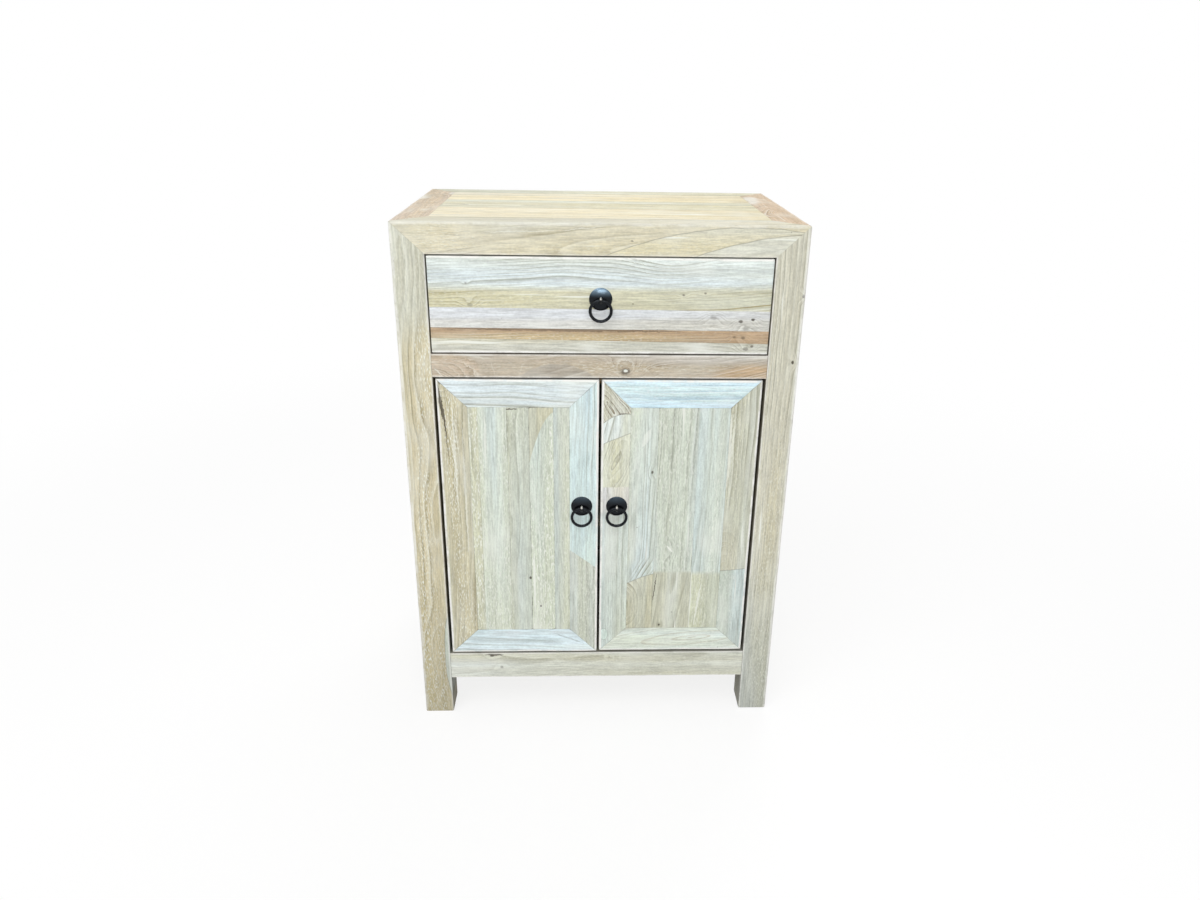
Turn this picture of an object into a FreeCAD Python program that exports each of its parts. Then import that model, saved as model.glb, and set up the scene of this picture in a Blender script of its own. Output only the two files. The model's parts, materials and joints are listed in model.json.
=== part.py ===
import FreeCAD, Part
import math
import os

# Side cabinet with one drawer over a pair of doors, in solid wood. Millimetres, +Z up, the front faces -Y.
# The origin is on the floor, under the middle of the object's whole outline (pulls included).

Vector = FreeCAD.Vector
X, Y, Z = 0, 1, 2

# ---------------------------------------------------------------- driving dimensions
WIDTH = 600.0                    # over the posts, left to right
DEPTH = 380.0                    # over the posts, front to back
HEIGHT = 850.0                   # floor to the top of the frame

POST = 48.0                      # square section of the posts, and width of the top frame seen from above
TOP_RAIL = 46.0                  # height of the top rails
MIDDLE_RAIL_LOW = 620.0          # rail between the drawer and the doors
MIDDLE_RAIL_TOP = 656.5
MIDDLE_RAIL_DEPTH = 36.0
BOTTOM_RAIL_LOW = 72.0           # rails under the doors, sides and back
BOTTOM_RAIL_TOP = 122.0
BOTTOM_RAIL_THICK = 30.0

TENON_LONG = 20.0
TENON_THICK = 10.0
TENON_SHOULDER = 9.0             # how far a tenon stays below the edges of its rail
WOOD_GAP = 0.1                   # clearance all round a tenon or tongue in its housing
TONGUE = 8.0                     # how far a panel's tongue reaches into its groove
TONGUE_THICK = 6.0

TOP_BOARD_THICK = 18.0
TOP_BOARD_SHARES = (0.36, 0.31, 0.33)           # widths of the front, middle and back board
TOP_TONGUE_DOWN = 6.0            # top face of a board down to its tongue
BATTEN_WIDE = 30.0
BATTEN_HIGH = 20.0
SIDE_PANEL_THICK = 14.0
BACK_PANEL_THICK = 12.0
PANEL_SET_BACK = 3.0             # side and back panels lie this far inside the posts' outer faces
FLOOR_TOP = 120.0                # cupboard floor
FLOOR_THICK = 14.0
SHELF_TOP = 364.0
SHELF_THICK = 14.0
SHELF_FRONT = 34.0               # behind the front face, clear of the swinging doors
CLEAT_WIDE = 18.0
CLEAT_HIGH = 20.0
LOOSE = 1.0                      # room round pieces that only lie in place

FRONT_SET_BACK = 0.5             # drawer front and doors behind the front face
DRAWER_HALF_WIDTH = 250.5
DRAWER_LOW = 658.0
DRAWER_TOP = 802.2
DRAWER_FRONT_THICK = 20.0
STAVE_JOINTS = ((752.0, 753.0), (727.5, 724.5), (697.0, 694.0), (681.0, 675.0))   # heights at left, right end
DRAWER_SIDE_OUT = 249.0          # outer face of the drawer sides from the middle
DRAWER_SIDE_THICK = 12.0
DRAWER_SIDE_TOP = 788.0
DRAWER_REAR = 345.0              # back end of the drawer sides, behind the front face
DRAWER_LAP = 9.0                 # how far the sides are let into the front
DRAWER_BOTTOM_LOW = 666.0
DRAWER_BOTTOM_THICK = 6.0
DRAWER_BACK_TOP = 776.0
RUNNER_SHELF = 22.0              # width of a runner under the drawer side
RUNNER_HIGH = 20.0
GUIDE_HIGH = 18.0                # the runner's outer part stands this far beside the drawer
GUIDE_IN = 250.2                 # face of the guide from the middle

DOOR_THICK = 22.0
DOOR_MEMBER = 45.5               # width of a door's stiles and rails
DOOR_TOP = 617.5
DOOR_PANEL_THICK = 14.0
DOOR_TENON_THICK = 7.0
DOOR_TENON_EDGE = 8.0            # wood left outside a door tenon
DOORS = {                        # hinge edge, meeting edge, lower edge
    "left": {"hinge": -248.0, "meeting": -1.7, "low": 124.0},
    "right": {"hinge": 247.5, "meeting": 2.0, "low": 125.5},
}
PIVOT_IN = 15.0                  # pivot axis from the hinge edge
PIVOT_BACK = 10.0                # pivot axis behind the front face
PIVOT_R = 4.0
PIVOT_CLEARANCE = 0.08           # running fit of the pins in the rails
PIVOT_OUT = 12.0                 # pin standing in the rail
PIVOT_SEAT = 30.0                # pin seated in the door

PLATE_R = 17.0                   # pulls
PLATE_RIM = 1.4
PLATE_DOME = 4.0
RING_R = 15.4                    # centre line of the ring
RING_WIRE_R = 2.3
EYE_R = 4.0                      # centre line of the eyelet
EYE_WIRE_R = 1.2
EYE_SHANK_R = 1.5
EYE_LEG = 9.0                    # length of each clinched leg behind the wood
EYE_LEG_THICK = 1.6
EYE_OUT = 9.4                    # centre of the eyelet in front of the wood, clear of the plate
PULLS = {                        # where each eyelet stands: x, z, thickness of the wood behind it
    "drawer": (-1.0, 741.0, DRAWER_FRONT_THICK),
    "door_left": (-28.0, 403.5, DOOR_THICK),
    "door_right": (28.0, 403.5, DOOR_THICK),
}

CATCH_HALF_WIDTH = 32.0
CATCH_HIGH = 17.0
CATCH_FRONT = 24.0               # behind the front face
STRIKE_X = 15.0                  # magnets and strikes from the middle
STRIKE_Z = 611.5
MAGNET_R = 5.0
MAGNET_THICK = 4.0
STRIKE_HEAD_R = 5.5
STRIKE_HEAD_THICK = 1.2
STRIKE_SHANK_R = 1.75
STRIKE_LONG = 14.0

SCREW_R = 2.0
SCREW_HEAD_R = 4.0
SCREW_LONG = 38.0
SCREW_TIGHT = 0.02               # room round a screw in its hole

# ---------------------------------------------------------------- derived positions
PULL_PROJECTION = EYE_OUT + EYE_R + EYE_WIRE_R - FRONT_SET_BACK
FRONT = (PULL_PROJECTION - DEPTH) / 2
BACK = FRONT + DEPTH
SIDE = WIDTH / 2
IN_X = SIDE - POST               # inner faces of the posts
IN_FRONT = FRONT + POST
IN_BACK = BACK - POST
RAIL_LOW = HEIGHT - TOP_RAIL
PLANE = FRONT + FRONT_SET_BACK   # outer plane of the drawer front and doors
SIDE_SIGN = {"left": -1, "right": 1}


# ---------------------------------------------------------------- small shape tools
def block(x0, x1, y0, y1, z0, z1):
    """Box between two values on each axis, given in either order."""
    low = Vector(min(x0, x1), min(y0, y1), min(z0, z1))
    return Part.makeBox(abs(x1 - x0), abs(y1 - y0), abs(z1 - z0), low)


def grown(shape, by):
    """The box round a shape, larger by a margin on every side."""
    b = shape.BoundBox
    return block(b.XMin - by, b.XMax + by, b.YMin - by, b.YMax + by, b.ZMin - by, b.ZMax + by)


def housed(shape, inserts, by=WOOD_GAP):
    """A shape with room cut in it for each box-shaped insert."""
    for insert in inserts:
        shape = shape.cut(grown(insert, by))
    return shape


def joined(first, *others):
    """One solid from pieces that touch or overlap."""
    for other in others:
        first = first.fuse(other)
    return first.removeSplitter()


def rod(centre, radius, length, axis):
    """Cylinder from a centre point along an axis."""
    return Part.makeCylinder(radius, length, centre, axis)


def prism(points, along):
    """Straight prism over a polygon."""
    return Part.Face(Part.makePolygon(list(points) + [points[0]])).extrude(along)


def export(name, *solids):
    """One STEP file for a node, holding one solid or a group of like solids."""
    shape = solids[0] if len(solids) == 1 else Part.makeCompound(list(solids))
    shape.exportStep("parts/" + name + ".step")


# ---------------------------------------------------------------- three-way mitred corners of the frame
def corner(sx, sy):
    """Outer and inner points of the cube that post and both top rails share."""
    outer = (sx * SIDE, FRONT if sy < 0 else BACK, HEIGHT)
    inner = (sx * IN_X, IN_FRONT if sy < 0 else IN_BACK, RAIL_LOW)
    return outer, inner


def mitre_waste(cube, own, other):
    """Half of a corner cube that belongs to the member along `other`, cut from the member along `own`."""
    outer, inner = cube
    third = 3 - own - other
    points = []
    for far_own, far_other in ((0, 0), (0, 1), (1, 1)):
        point = [0.0, 0.0, 0.0]
        point[own] = cube[far_own][own]
        point[other] = cube[far_other][other]
        point[third] = outer[third]
        points.append(Vector(*point))
    along = [0.0, 0.0, 0.0]
    along[third] = inner[third] - outer[third]
    return prism(points, Vector(*along))


def mitred(shape, cubes, own):
    """A member along axis `own` with its ends cut to a three-way mitre in each given cube."""
    for cube in cubes:
        for other in {X, Y, Z} - {own}:
            shape = shape.cut(mitre_waste(cube, own, other))
    return shape


def post_tenons(sx, sy):
    """The two tenons on top of a post: one rises into the front or back rail, one into the side rail."""
    far, near, wide, cover = 26.0, 10.0, 12.0, 8.0
    tenons = []
    for in_x, in_y in ((far, near), (near, far)):
        x = sx * (SIDE - in_x)
        y = FRONT + in_y if sy < 0 else BACK - in_y
        tenons.append(block(x, x - sx * wide, y, y - sy * wide, RAIL_LOW - 1, HEIGHT - cover))
    return tenons


# ---------------------------------------------------------------- tongues and tenons that other pieces house
def rail_tenon(x0, x1, y0, y1, z_low, z_top):
    """Tenon of a rail between given faces, kept back from its upper and lower edge."""
    return block(x0, x1, y0, y1, z_low + TENON_SHOULDER, z_top - TENON_SHOULDER)


def cross_rail_tenons(thick_from, z_low, z_top):
    """Tenons at both ends of a rail that runs left to right."""
    y1 = thick_from + TENON_THICK
    return [rail_tenon(s * IN_X, s * (IN_X + TENON_LONG), thick_from, y1, z_low, z_top) for s in (-1, 1)]


def side_rail_tenons(sx):
    """Tenons at both ends of a side bottom rail."""
    x0 = sx * (SIDE - 10.0)
    x1 = x0 - sx * TENON_THICK
    front = rail_tenon(x0, x1, IN_FRONT, IN_FRONT - TENON_LONG, BOTTOM_RAIL_LOW, BOTTOM_RAIL_TOP)
    back = rail_tenon(x0, x1, IN_BACK, IN_BACK + TENON_LONG, BOTTOM_RAIL_LOW, BOTTOM_RAIL_TOP)
    return [front, back]


FRONT_BOTTOM_TENONS = cross_rail_tenons(FRONT + 10, BOTTOM_RAIL_LOW, BOTTOM_RAIL_TOP)
BACK_BOTTOM_TENONS = cross_rail_tenons(BACK - 10 - TENON_THICK, BOTTOM_RAIL_LOW, BOTTOM_RAIL_TOP)
MIDDLE_TENONS = cross_rail_tenons(FRONT + 13, MIDDLE_RAIL_LOW, MIDDLE_RAIL_TOP)


def top_tongue_z():
    """Lower and upper face of the top boards' tongues."""
    top = HEIGHT - TOP_TONGUE_DOWN
    return top - TONGUE_THICK, top


def side_tongue(sx):
    """Tongue plate of a side panel, reaching into posts and rails on all four sides."""
    outer = SIDE - PANEL_SET_BACK - 4
    return block(sx * outer, sx * (outer - TONGUE_THICK), IN_FRONT - TONGUE, IN_BACK + TONGUE,
                 BOTTOM_RAIL_TOP - TONGUE, RAIL_LOW + TONGUE)


def back_tongue():
    """Tongue plate of the back panel."""
    outer = BACK - PANEL_SET_BACK - 3
    return block(-IN_X - TONGUE, IN_X + TONGUE, outer - TONGUE_THICK, outer,
                 BOTTOM_RAIL_TOP - TONGUE, RAIL_LOW + TONGUE)


def batten():
    """Batten under the top boards, tenoned into the front and back rails."""
    top = HEIGHT - TOP_BOARD_THICK
    return block(-BATTEN_WIDE / 2, BATTEN_WIDE / 2, IN_FRONT - 10, IN_BACK + 10, top - BATTEN_HIGH, top)


def top_groove():
    """Tongue plate of the whole top panel."""
    low, top = top_tongue_z()
    return block(-IN_X - TONGUE, IN_X + TONGUE, IN_FRONT - TONGUE, IN_BACK + TONGUE, low, top)


def floor_tongues():
    """Tongue plates of the cupboard floor: one left to right, one front to back, clear of the posts."""
    low = FLOOR_TOP - FLOOR_THICK
    top = low + TONGUE_THICK
    in_x = SIDE - BOTTOM_RAIL_THICK
    in_y0 = FRONT + BOTTOM_RAIL_THICK
    in_y1 = BACK - BOTTOM_RAIL_THICK
    across = block(-in_x - TONGUE, in_x + TONGUE, IN_FRONT + LOOSE, IN_BACK - LOOSE, low, top)
    along = block(-IN_X + LOOSE, IN_X - LOOSE, in_y0 - TONGUE, in_y1 + TONGUE, low, top)
    return [across, along]


# ---------------------------------------------------------------- screws
def screw(head, axis, length=SCREW_LONG):
    """Countersunk wood screw with its head flush at a point."""
    shank = rod(head, SCREW_R, length, axis)
    cone = Part.makeCone(SCREW_HEAD_R, SCREW_R, SCREW_HEAD_R - SCREW_R, head, axis)
    return joined(cone, shank)


def screw_hole(head, axis, length=SCREW_LONG):
    """Room for a screw, a little wider and deeper than the screw itself."""
    shank = rod(head, SCREW_R + SCREW_TIGHT, length + 1, axis)
    cone = Part.makeCone(SCREW_HEAD_R + SCREW_TIGHT, SCREW_R, SCREW_HEAD_R - SCREW_R + SCREW_TIGHT, head, axis)
    return joined(cone, shank)


def side_screw_places():
    """Screws of the runners and cleats, driven outwards into the posts."""
    places = []
    runner_z = MIDDLE_RAIL_TOP - RUNNER_HIGH / 2
    cleat_z = SHELF_TOP - SHELF_THICK - CLEAT_HIGH / 2
    for sx in (-1, 1):
        for y in (FRONT + 42, BACK - POST / 2):
            places.append((Vector(sx * (IN_X - RUNNER_SHELF), y, runner_z), Vector(sx, 0, 0)))
            places.append((Vector(sx * (IN_X - CLEAT_WIDE), y, cleat_z), Vector(sx, 0, 0)))
    return places


def catch_screw_places():
    """Screws of the catch block, driven upwards into the middle rail."""
    y = FRONT + (CATCH_FRONT + MIDDLE_RAIL_DEPTH) / 2
    return [(Vector(x, y, MIDDLE_RAIL_LOW - CATCH_HIGH), Vector(0, 0, 1)) for x in (-24.0, 24.0)]


def drilled(shape, places):
    """A shape with its screw holes."""
    for place in places:
        shape = shape.cut(screw_hole(*place))
    return shape


# ---------------------------------------------------------------- carcass
def post(sx, sy):
    """Corner post and foot in one, with the mitred head, its two tenons and all housings."""
    outer_y, inner_y = (FRONT, IN_FRONT) if sy < 0 else (BACK, IN_BACK)
    shape = block(sx * SIDE, sx * IN_X, outer_y, inner_y, 0, HEIGHT)
    shape = mitred(shape, [corner(sx, sy)], Z)
    shape = joined(shape, *post_tenons(sx, sy))
    inserts = side_rail_tenons(sx) + [side_tongue(sx)]
    inserts += FRONT_BOTTOM_TENONS + MIDDLE_TENONS if sy < 0 else BACK_BOTTOM_TENONS + [back_tongue()]
    return drilled(housed(shape, inserts), side_screw_places())


def top_cross_rail(sy):
    """Front or back rail of the top frame."""
    outer_y, inner_y = (FRONT, IN_FRONT) if sy < 0 else (BACK, IN_BACK)
    shape = block(-SIDE, SIDE, outer_y, inner_y, RAIL_LOW, HEIGHT)
    shape = mitred(shape, [corner(-1, sy), corner(1, sy)], X)
    inserts = post_tenons(-1, sy) + post_tenons(1, sy) + [top_groove(), batten()]
    if sy > 0:
        inserts.append(back_tongue())
    return housed(shape, inserts)


def top_side_rail(sx):
    """Left or right rail of the top frame."""
    shape = block(sx * SIDE, sx * IN_X, FRONT, BACK, RAIL_LOW, HEIGHT)
    shape = mitred(shape, [corner(sx, -1), corner(sx, 1)], Y)
    inserts = post_tenons(sx, -1) + post_tenons(sx, 1) + [top_groove(), side_tongue(sx)]
    return housed(shape, inserts)


def top_boards():
    """Boards of the top panel from front to back, each with its tongues."""
    low, top = top_tongue_z()
    boards = []
    y = IN_FRONT
    for index, share in enumerate(TOP_BOARD_SHARES):
        y_next = y + share * (IN_BACK - IN_FRONT)
        board = block(-IN_X, IN_X, y, y_next, HEIGHT - TOP_BOARD_THICK, HEIGHT)
        first = y - (TONGUE if index == 0 else 0)
        last = y_next + (TONGUE if index == len(TOP_BOARD_SHARES) - 1 else 0)
        boards.append(joined(board, block(-IN_X - TONGUE, IN_X + TONGUE, first, last, low, top)))
        y = y_next
    return boards


def middle_rail():
    """Rail between drawer and doors, with the upper pivot sockets."""
    shape = block(-IN_X, IN_X, FRONT, FRONT + MIDDLE_RAIL_DEPTH, MIDDLE_RAIL_LOW, MIDDLE_RAIL_TOP)
    shape = joined(shape, *MIDDLE_TENONS)
    for door in DOORS.values():
        shape = shape.cut(pivot_socket(door, MIDDLE_RAIL_LOW, 1))
    return drilled(shape, catch_screw_places())


def bottom_cross_rail(sy):
    """Front or back bottom rail; the front one has the lower pivot sockets."""
    outer_y = FRONT if sy < 0 else BACK
    tenons = FRONT_BOTTOM_TENONS if sy < 0 else BACK_BOTTOM_TENONS
    inner_y = outer_y - sy * BOTTOM_RAIL_THICK
    shape = block(-IN_X, IN_X, outer_y, inner_y, BOTTOM_RAIL_LOW, BOTTOM_RAIL_TOP)
    shape = joined(shape, *tenons)
    inserts = floor_tongues() + ([back_tongue()] if sy > 0 else [])
    shape = housed(shape, inserts)
    if sy < 0:
        for door in DOORS.values():
            shape = shape.cut(pivot_socket(door, BOTTOM_RAIL_TOP, -1))
    return shape


def bottom_side_rail(sx):
    """Left or right bottom rail."""
    x0 = sx * SIDE
    shape = block(x0, x0 - sx * BOTTOM_RAIL_THICK, IN_FRONT, IN_BACK, BOTTOM_RAIL_LOW, BOTTOM_RAIL_TOP)
    shape = joined(shape, *side_rail_tenons(sx))
    return housed(shape, floor_tongues() + [side_tongue(sx)])


def side_panel(sx):
    """Side panel with its tongue all round."""
    outer = SIDE - PANEL_SET_BACK
    panel = block(sx * outer, sx * (outer - SIDE_PANEL_THICK), IN_FRONT, IN_BACK, BOTTOM_RAIL_TOP, RAIL_LOW)
    return joined(panel, side_tongue(sx))


def back_panel():
    """Back panel with its tongue all round."""
    outer = BACK - PANEL_SET_BACK
    panel = block(-IN_X, IN_X, outer - BACK_PANEL_THICK, outer, BOTTOM_RAIL_TOP, RAIL_LOW)
    return joined(panel, back_tongue())


def cupboard_floor():
    """Floor board between the bottom rails, notched round the posts."""
    in_x = SIDE - BOTTOM_RAIL_THICK
    low = FLOOR_TOP - FLOOR_THICK
    board = block(-in_x, in_x, FRONT + BOTTOM_RAIL_THICK, BACK - BOTTOM_RAIL_THICK, low, FLOOR_TOP)
    return notched(joined(board, *floor_tongues()))


def notched(board):
    """A board with a notch round each post."""
    b = board.BoundBox
    for sx in (-1, 1):
        for outer_y, inner_y in ((FRONT, IN_FRONT + LOOSE), (BACK, IN_BACK - LOOSE)):
            x = sx * (IN_X - LOOSE)
            board = board.cut(block(x, sx * SIDE, outer_y, inner_y, b.ZMin - 1, b.ZMax + 1))
    return board


def shelf():
    """Loose shelf, notched round the posts, lying on the cleats."""
    x = SIDE - PANEL_SET_BACK - SIDE_PANEL_THICK - LOOSE
    rear = BACK - PANEL_SET_BACK - BACK_PANEL_THICK - LOOSE
    return notched(block(-x, x, FRONT + SHELF_FRONT, rear, SHELF_TOP - SHELF_THICK, SHELF_TOP))


def cleat(sx):
    """Strip under one end of the shelf, screwed to the posts."""
    x = sx * IN_X
    top = SHELF_TOP - SHELF_THICK
    rear = BACK - PANEL_SET_BACK - BACK_PANEL_THICK - LOOSE
    strip = block(x, x - sx * CLEAT_WIDE, FRONT + SHELF_FRONT, rear, top - CLEAT_HIGH, top)
    return drilled(strip, side_screw_places())


def runner(sx):
    """Drawer runner: a shelf under the drawer side and a guide beside it, in one piece."""
    low = MIDDLE_RAIL_TOP - RUNNER_HIGH
    rear = BACK - PANEL_SET_BACK - BACK_PANEL_THICK - LOOSE
    x = sx * IN_X
    bed = block(x, x - sx * RUNNER_SHELF, FRONT + MIDDLE_RAIL_DEPTH, rear, low, MIDDLE_RAIL_TOP)
    outer = sx * (SIDE - PANEL_SET_BACK - SIDE_PANEL_THICK - LOOSE)
    y0, y1 = IN_FRONT + LOOSE / 2, IN_BACK - LOOSE / 2
    guide = block(outer, sx * GUIDE_IN, y0, y1, low, MIDDLE_RAIL_TOP + GUIDE_HIGH)
    return drilled(joined(bed, guide), side_screw_places())


# ---------------------------------------------------------------- catch for the doors
def magnet(sx):
    """Magnet set flush in the front of the catch block."""
    return rod(Vector(sx * STRIKE_X, FRONT + CATCH_FRONT, STRIKE_Z), MAGNET_R, MAGNET_THICK, Vector(0, 1, 0))


def catch_block():
    """Wooden block under the middle rail that stops the doors and holds the magnets."""
    low = MIDDLE_RAIL_LOW - CATCH_HIGH
    shape = block(-CATCH_HALF_WIDTH, CATCH_HALF_WIDTH, FRONT + CATCH_FRONT, FRONT + MIDDLE_RAIL_DEPTH,
                  low, MIDDLE_RAIL_LOW)
    for sx in (-1, 1):
        shape = shape.cut(magnet(sx))
    return drilled(shape, catch_screw_places())


def strike(sx):
    """Flat-headed steel screw in the back of a door, facing its magnet."""
    behind = Vector(sx * STRIKE_X, PLANE + DOOR_THICK, STRIKE_Z)
    head = rod(behind, STRIKE_HEAD_R, STRIKE_HEAD_THICK, Vector(0, 1, 0))
    return joined(head, rod(behind, STRIKE_SHANK_R, STRIKE_LONG, Vector(0, -1, 0)))


def strike_hole(sx):
    """Hole for the shank of a strike screw."""
    behind = Vector(sx * STRIKE_X, PLANE + DOOR_THICK, STRIKE_Z)
    return rod(behind, STRIKE_SHANK_R + SCREW_TIGHT, STRIKE_LONG + 1, Vector(0, -1, 0))


# ---------------------------------------------------------------- drawer
def drawer_staves():
    """The five glued staves of the drawer front from the top down, let out at the back for the sides."""
    joints = ((DRAWER_TOP, DRAWER_TOP),) + STAVE_JOINTS + ((DRAWER_LOW, DRAWER_LOW),)
    inserts = [drawer_side(-1, False), drawer_side(1, False), drawer_bottom()]
    staves = []
    for (top_left, top_right), (low_left, low_right) in zip(joints, joints[1:]):
        outline = [Vector(-DRAWER_HALF_WIDTH, PLANE, low_left), Vector(DRAWER_HALF_WIDTH, PLANE, low_right),
                   Vector(DRAWER_HALF_WIDTH, PLANE, top_right), Vector(-DRAWER_HALF_WIDTH, PLANE, top_left)]
        stave = housed(prism(outline, Vector(0, DRAWER_FRONT_THICK, 0)), inserts)
        staves.append(stave.cut(pull_bore("drawer")))
    return staves


def drawer_side(sx, grooved=True):
    """Side of the drawer, let into the front, with a groove for the bottom."""
    x = sx * DRAWER_SIDE_OUT
    front = PLANE + DRAWER_FRONT_THICK - DRAWER_LAP
    side = block(x, x - sx * DRAWER_SIDE_THICK, front, FRONT + DRAWER_REAR, DRAWER_LOW + 1, DRAWER_SIDE_TOP)
    return housed(side, [drawer_bottom()]) if grooved else side


def drawer_back():
    """Back of the drawer between the sides, standing on the bottom."""
    x = DRAWER_SIDE_OUT - DRAWER_SIDE_THICK
    y = FRONT + DRAWER_REAR
    low = DRAWER_BOTTOM_LOW + DRAWER_BOTTOM_THICK + WOOD_GAP
    return block(-x, x, y - DRAWER_SIDE_THICK, y, low, DRAWER_BACK_TOP)


def drawer_bottom():
    """Bottom board in the grooves of the sides and the front."""
    x = DRAWER_SIDE_OUT - DRAWER_SIDE_THICK / 2
    front = PLANE + DRAWER_FRONT_THICK - DRAWER_LAP + 3
    top = DRAWER_BOTTOM_LOW + DRAWER_BOTTOM_THICK
    return block(-x, x, front, FRONT + DRAWER_REAR, DRAWER_BOTTOM_LOW, top)


# ---------------------------------------------------------------- doors
def pivot_x(door):
    """Middle of a door's pivot axis, left to right."""
    return door["hinge"] + math.copysign(PIVOT_IN, door["meeting"] - door["hinge"])


def pivot_socket(door, z, up):
    """Blind hole in a rail that a pivot pin turns in."""
    centre = Vector(pivot_x(door), FRONT + PIVOT_BACK, z)
    return rod(centre, PIVOT_R + PIVOT_CLEARANCE, PIVOT_OUT + 2, Vector(0, 0, up))


def pivot_pins(door):
    """Lower and upper pivot pin of a door."""
    x, y = pivot_x(door), FRONT + PIVOT_BACK
    lower_end = BOTTOM_RAIL_TOP - PIVOT_OUT
    upper_end = MIDDLE_RAIL_LOW + PIVOT_OUT
    lower = rod(Vector(x, y, lower_end), PIVOT_R, door["low"] + PIVOT_SEAT - lower_end, Vector(0, 0, 1))
    upper = rod(Vector(x, y, DOOR_TOP - PIVOT_SEAT), PIVOT_R, upper_end - DOOR_TOP + PIVOT_SEAT, Vector(0, 0, 1))
    return [lower, upper]


def door_places(door):
    """Outer and inner limits of a door frame: x at hinge and meeting edge, z at low and top edge."""
    inward = math.copysign(DOOR_MEMBER, door["meeting"] - door["hinge"])
    xs = (door["hinge"], door["hinge"] + inward, door["meeting"] - inward, door["meeting"])
    zs = (door["low"], door["low"] + DOOR_MEMBER, DOOR_TOP - DOOR_MEMBER, DOOR_TOP)
    return xs, zs


def door_tenons(door):
    """The four tenons of the door's rails, seen by the stiles as mortises."""
    xs, zs = door_places(door)
    inward = math.copysign(1, door["meeting"] - door["hinge"])
    y0 = PLANE + (DOOR_THICK - DOOR_TENON_THICK) / 2 + 3
    y1 = y0 + DOOR_TENON_THICK
    spans = {"low": (zs[0] + DOOR_TENON_EDGE, zs[1] - 1), "top": (zs[2] + 1, zs[3] - DOOR_TENON_EDGE)}
    ends = ((xs[0] + inward * DOOR_TENON_EDGE, xs[1] + inward * 4),
            (xs[3] - inward * DOOR_TENON_EDGE, xs[2] - inward * 4))
    return {rail: [block(x0, x1, y0, y1, z0, z1) for x0, x1 in ends] for rail, (z0, z1) in spans.items()}


def door_panel_tongue(door):
    """Tongue plate of the door panel."""
    xs, zs = door_places(door)
    outward = math.copysign(TONGUE, xs[0] - xs[1])
    y0 = PLANE + 5
    return block(xs[1] + outward, xs[2] - outward, y0, y0 + TONGUE_THICK, zs[1] - TONGUE, zs[2] + TONGUE)


def frame_member(points):
    """Mitred member of a door frame over its outline on the front plane."""
    return prism([Vector(x, PLANE, z) for x, z in points], Vector(0, DOOR_THICK, 0))


def door_stile(door, edge, side):
    """Stile at the hinge edge (0) or at the meeting edge (3), with mortises, groove and bores."""
    xs, zs = door_places(door)
    outer, inner = (xs[0], xs[1]) if edge == 0 else (xs[3], xs[2])
    shape = frame_member([(outer, zs[0]), (inner, zs[1]), (inner, zs[2]), (outer, zs[3])])
    tenons = door_tenons(door)
    shape = housed(shape, tenons["low"] + tenons["top"] + [door_panel_tongue(door)])
    if edge == 0:
        for pin in pivot_pins(door):
            shape = shape.cut(widened(pin, SCREW_TIGHT))
        return shape
    return shape.cut(pull_bore("door_" + side)).cut(strike_hole(SIDE_SIGN[side]))


def widened(pin, by):
    """Hole round an upright pin."""
    b = pin.BoundBox
    foot = Vector((b.XMin + b.XMax) / 2, (b.YMin + b.YMax) / 2, b.ZMin - 1)
    return rod(foot, b.XLength / 2 + by, b.ZLength + 2, Vector(0, 0, 1))


def door_rail(door, which, side):
    """Lower or upper rail of a door with a tenon at each end."""
    xs, zs = door_places(door)
    outer, inner = (zs[0], zs[1]) if which == "low" else (zs[3], zs[2])
    shape = frame_member([(xs[0], outer), (xs[3], outer), (xs[2], inner), (xs[1], inner)])
    shape = joined(shape, *door_tenons(door)[which])
    shape = housed(shape, [door_panel_tongue(door)])
    for pin in pivot_pins(door):
        shape = shape.cut(widened(pin, SCREW_TIGHT))
    return shape.cut(strike_hole(SIDE_SIGN[side]))


def door_panel(door):
    """Flush panel of a door with its tongue all round."""
    xs, zs = door_places(door)
    panel = block(xs[1], xs[2], PLANE, PLANE + DOOR_PANEL_THICK, zs[1], zs[2])
    return joined(panel, door_panel_tongue(door))


# ---------------------------------------------------------------- ring pulls
def pull_bore(pull, room=0.1):
    """Hole through plate and wood for the shank of the eyelet."""
    x, z, thick = PULLS[pull]
    return rod(Vector(x, PLANE - PLATE_DOME - 1, z), EYE_SHANK_R + room, thick + PLATE_DOME + 2, Vector(0, 1, 0))


def pull_plate(pull):
    """Domed round back plate: the part of a ball over a short rim, with a hole in the middle."""
    x, z = PULLS[pull][:2]
    rise = PLATE_DOME - PLATE_RIM
    ball_r = (PLATE_R ** 2 + rise ** 2) / (2 * rise)
    disc = rod(Vector(x, PLANE - PLATE_DOME, z), PLATE_R, PLATE_DOME, Vector(0, 1, 0))
    ball = Part.makeSphere(ball_r, Vector(x, PLANE - PLATE_DOME + ball_r, z))
    return disc.common(ball).cut(pull_bore(pull))


def pull_eyelet(pull):
    """Split pin: flat-sided eye in front, shank through the wood, two legs clinched on the back."""
    x, z, thick = PULLS[pull]
    eye_side = Vector(x - EYE_WIRE_R, PLANE - EYE_OUT, z)
    eye = rod(eye_side, EYE_R + EYE_WIRE_R, 2 * EYE_WIRE_R, Vector(1, 0, 0))
    hole = rod(eye_side, EYE_R - EYE_WIRE_R, 2 * EYE_WIRE_R, Vector(1, 0, 0))
    behind = PLANE + thick
    shank_front = PLANE - EYE_OUT + EYE_R
    shank = rod(Vector(x, shank_front, z), EYE_SHANK_R, behind + EYE_LEG_THICK / 2 - shank_front, Vector(0, 1, 0))
    legs = block(x - EYE_WIRE_R, x + EYE_WIRE_R, behind, behind + EYE_LEG_THICK, z - EYE_LEG, z + EYE_LEG)
    return joined(eye.cut(hole), shank, legs)


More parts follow.
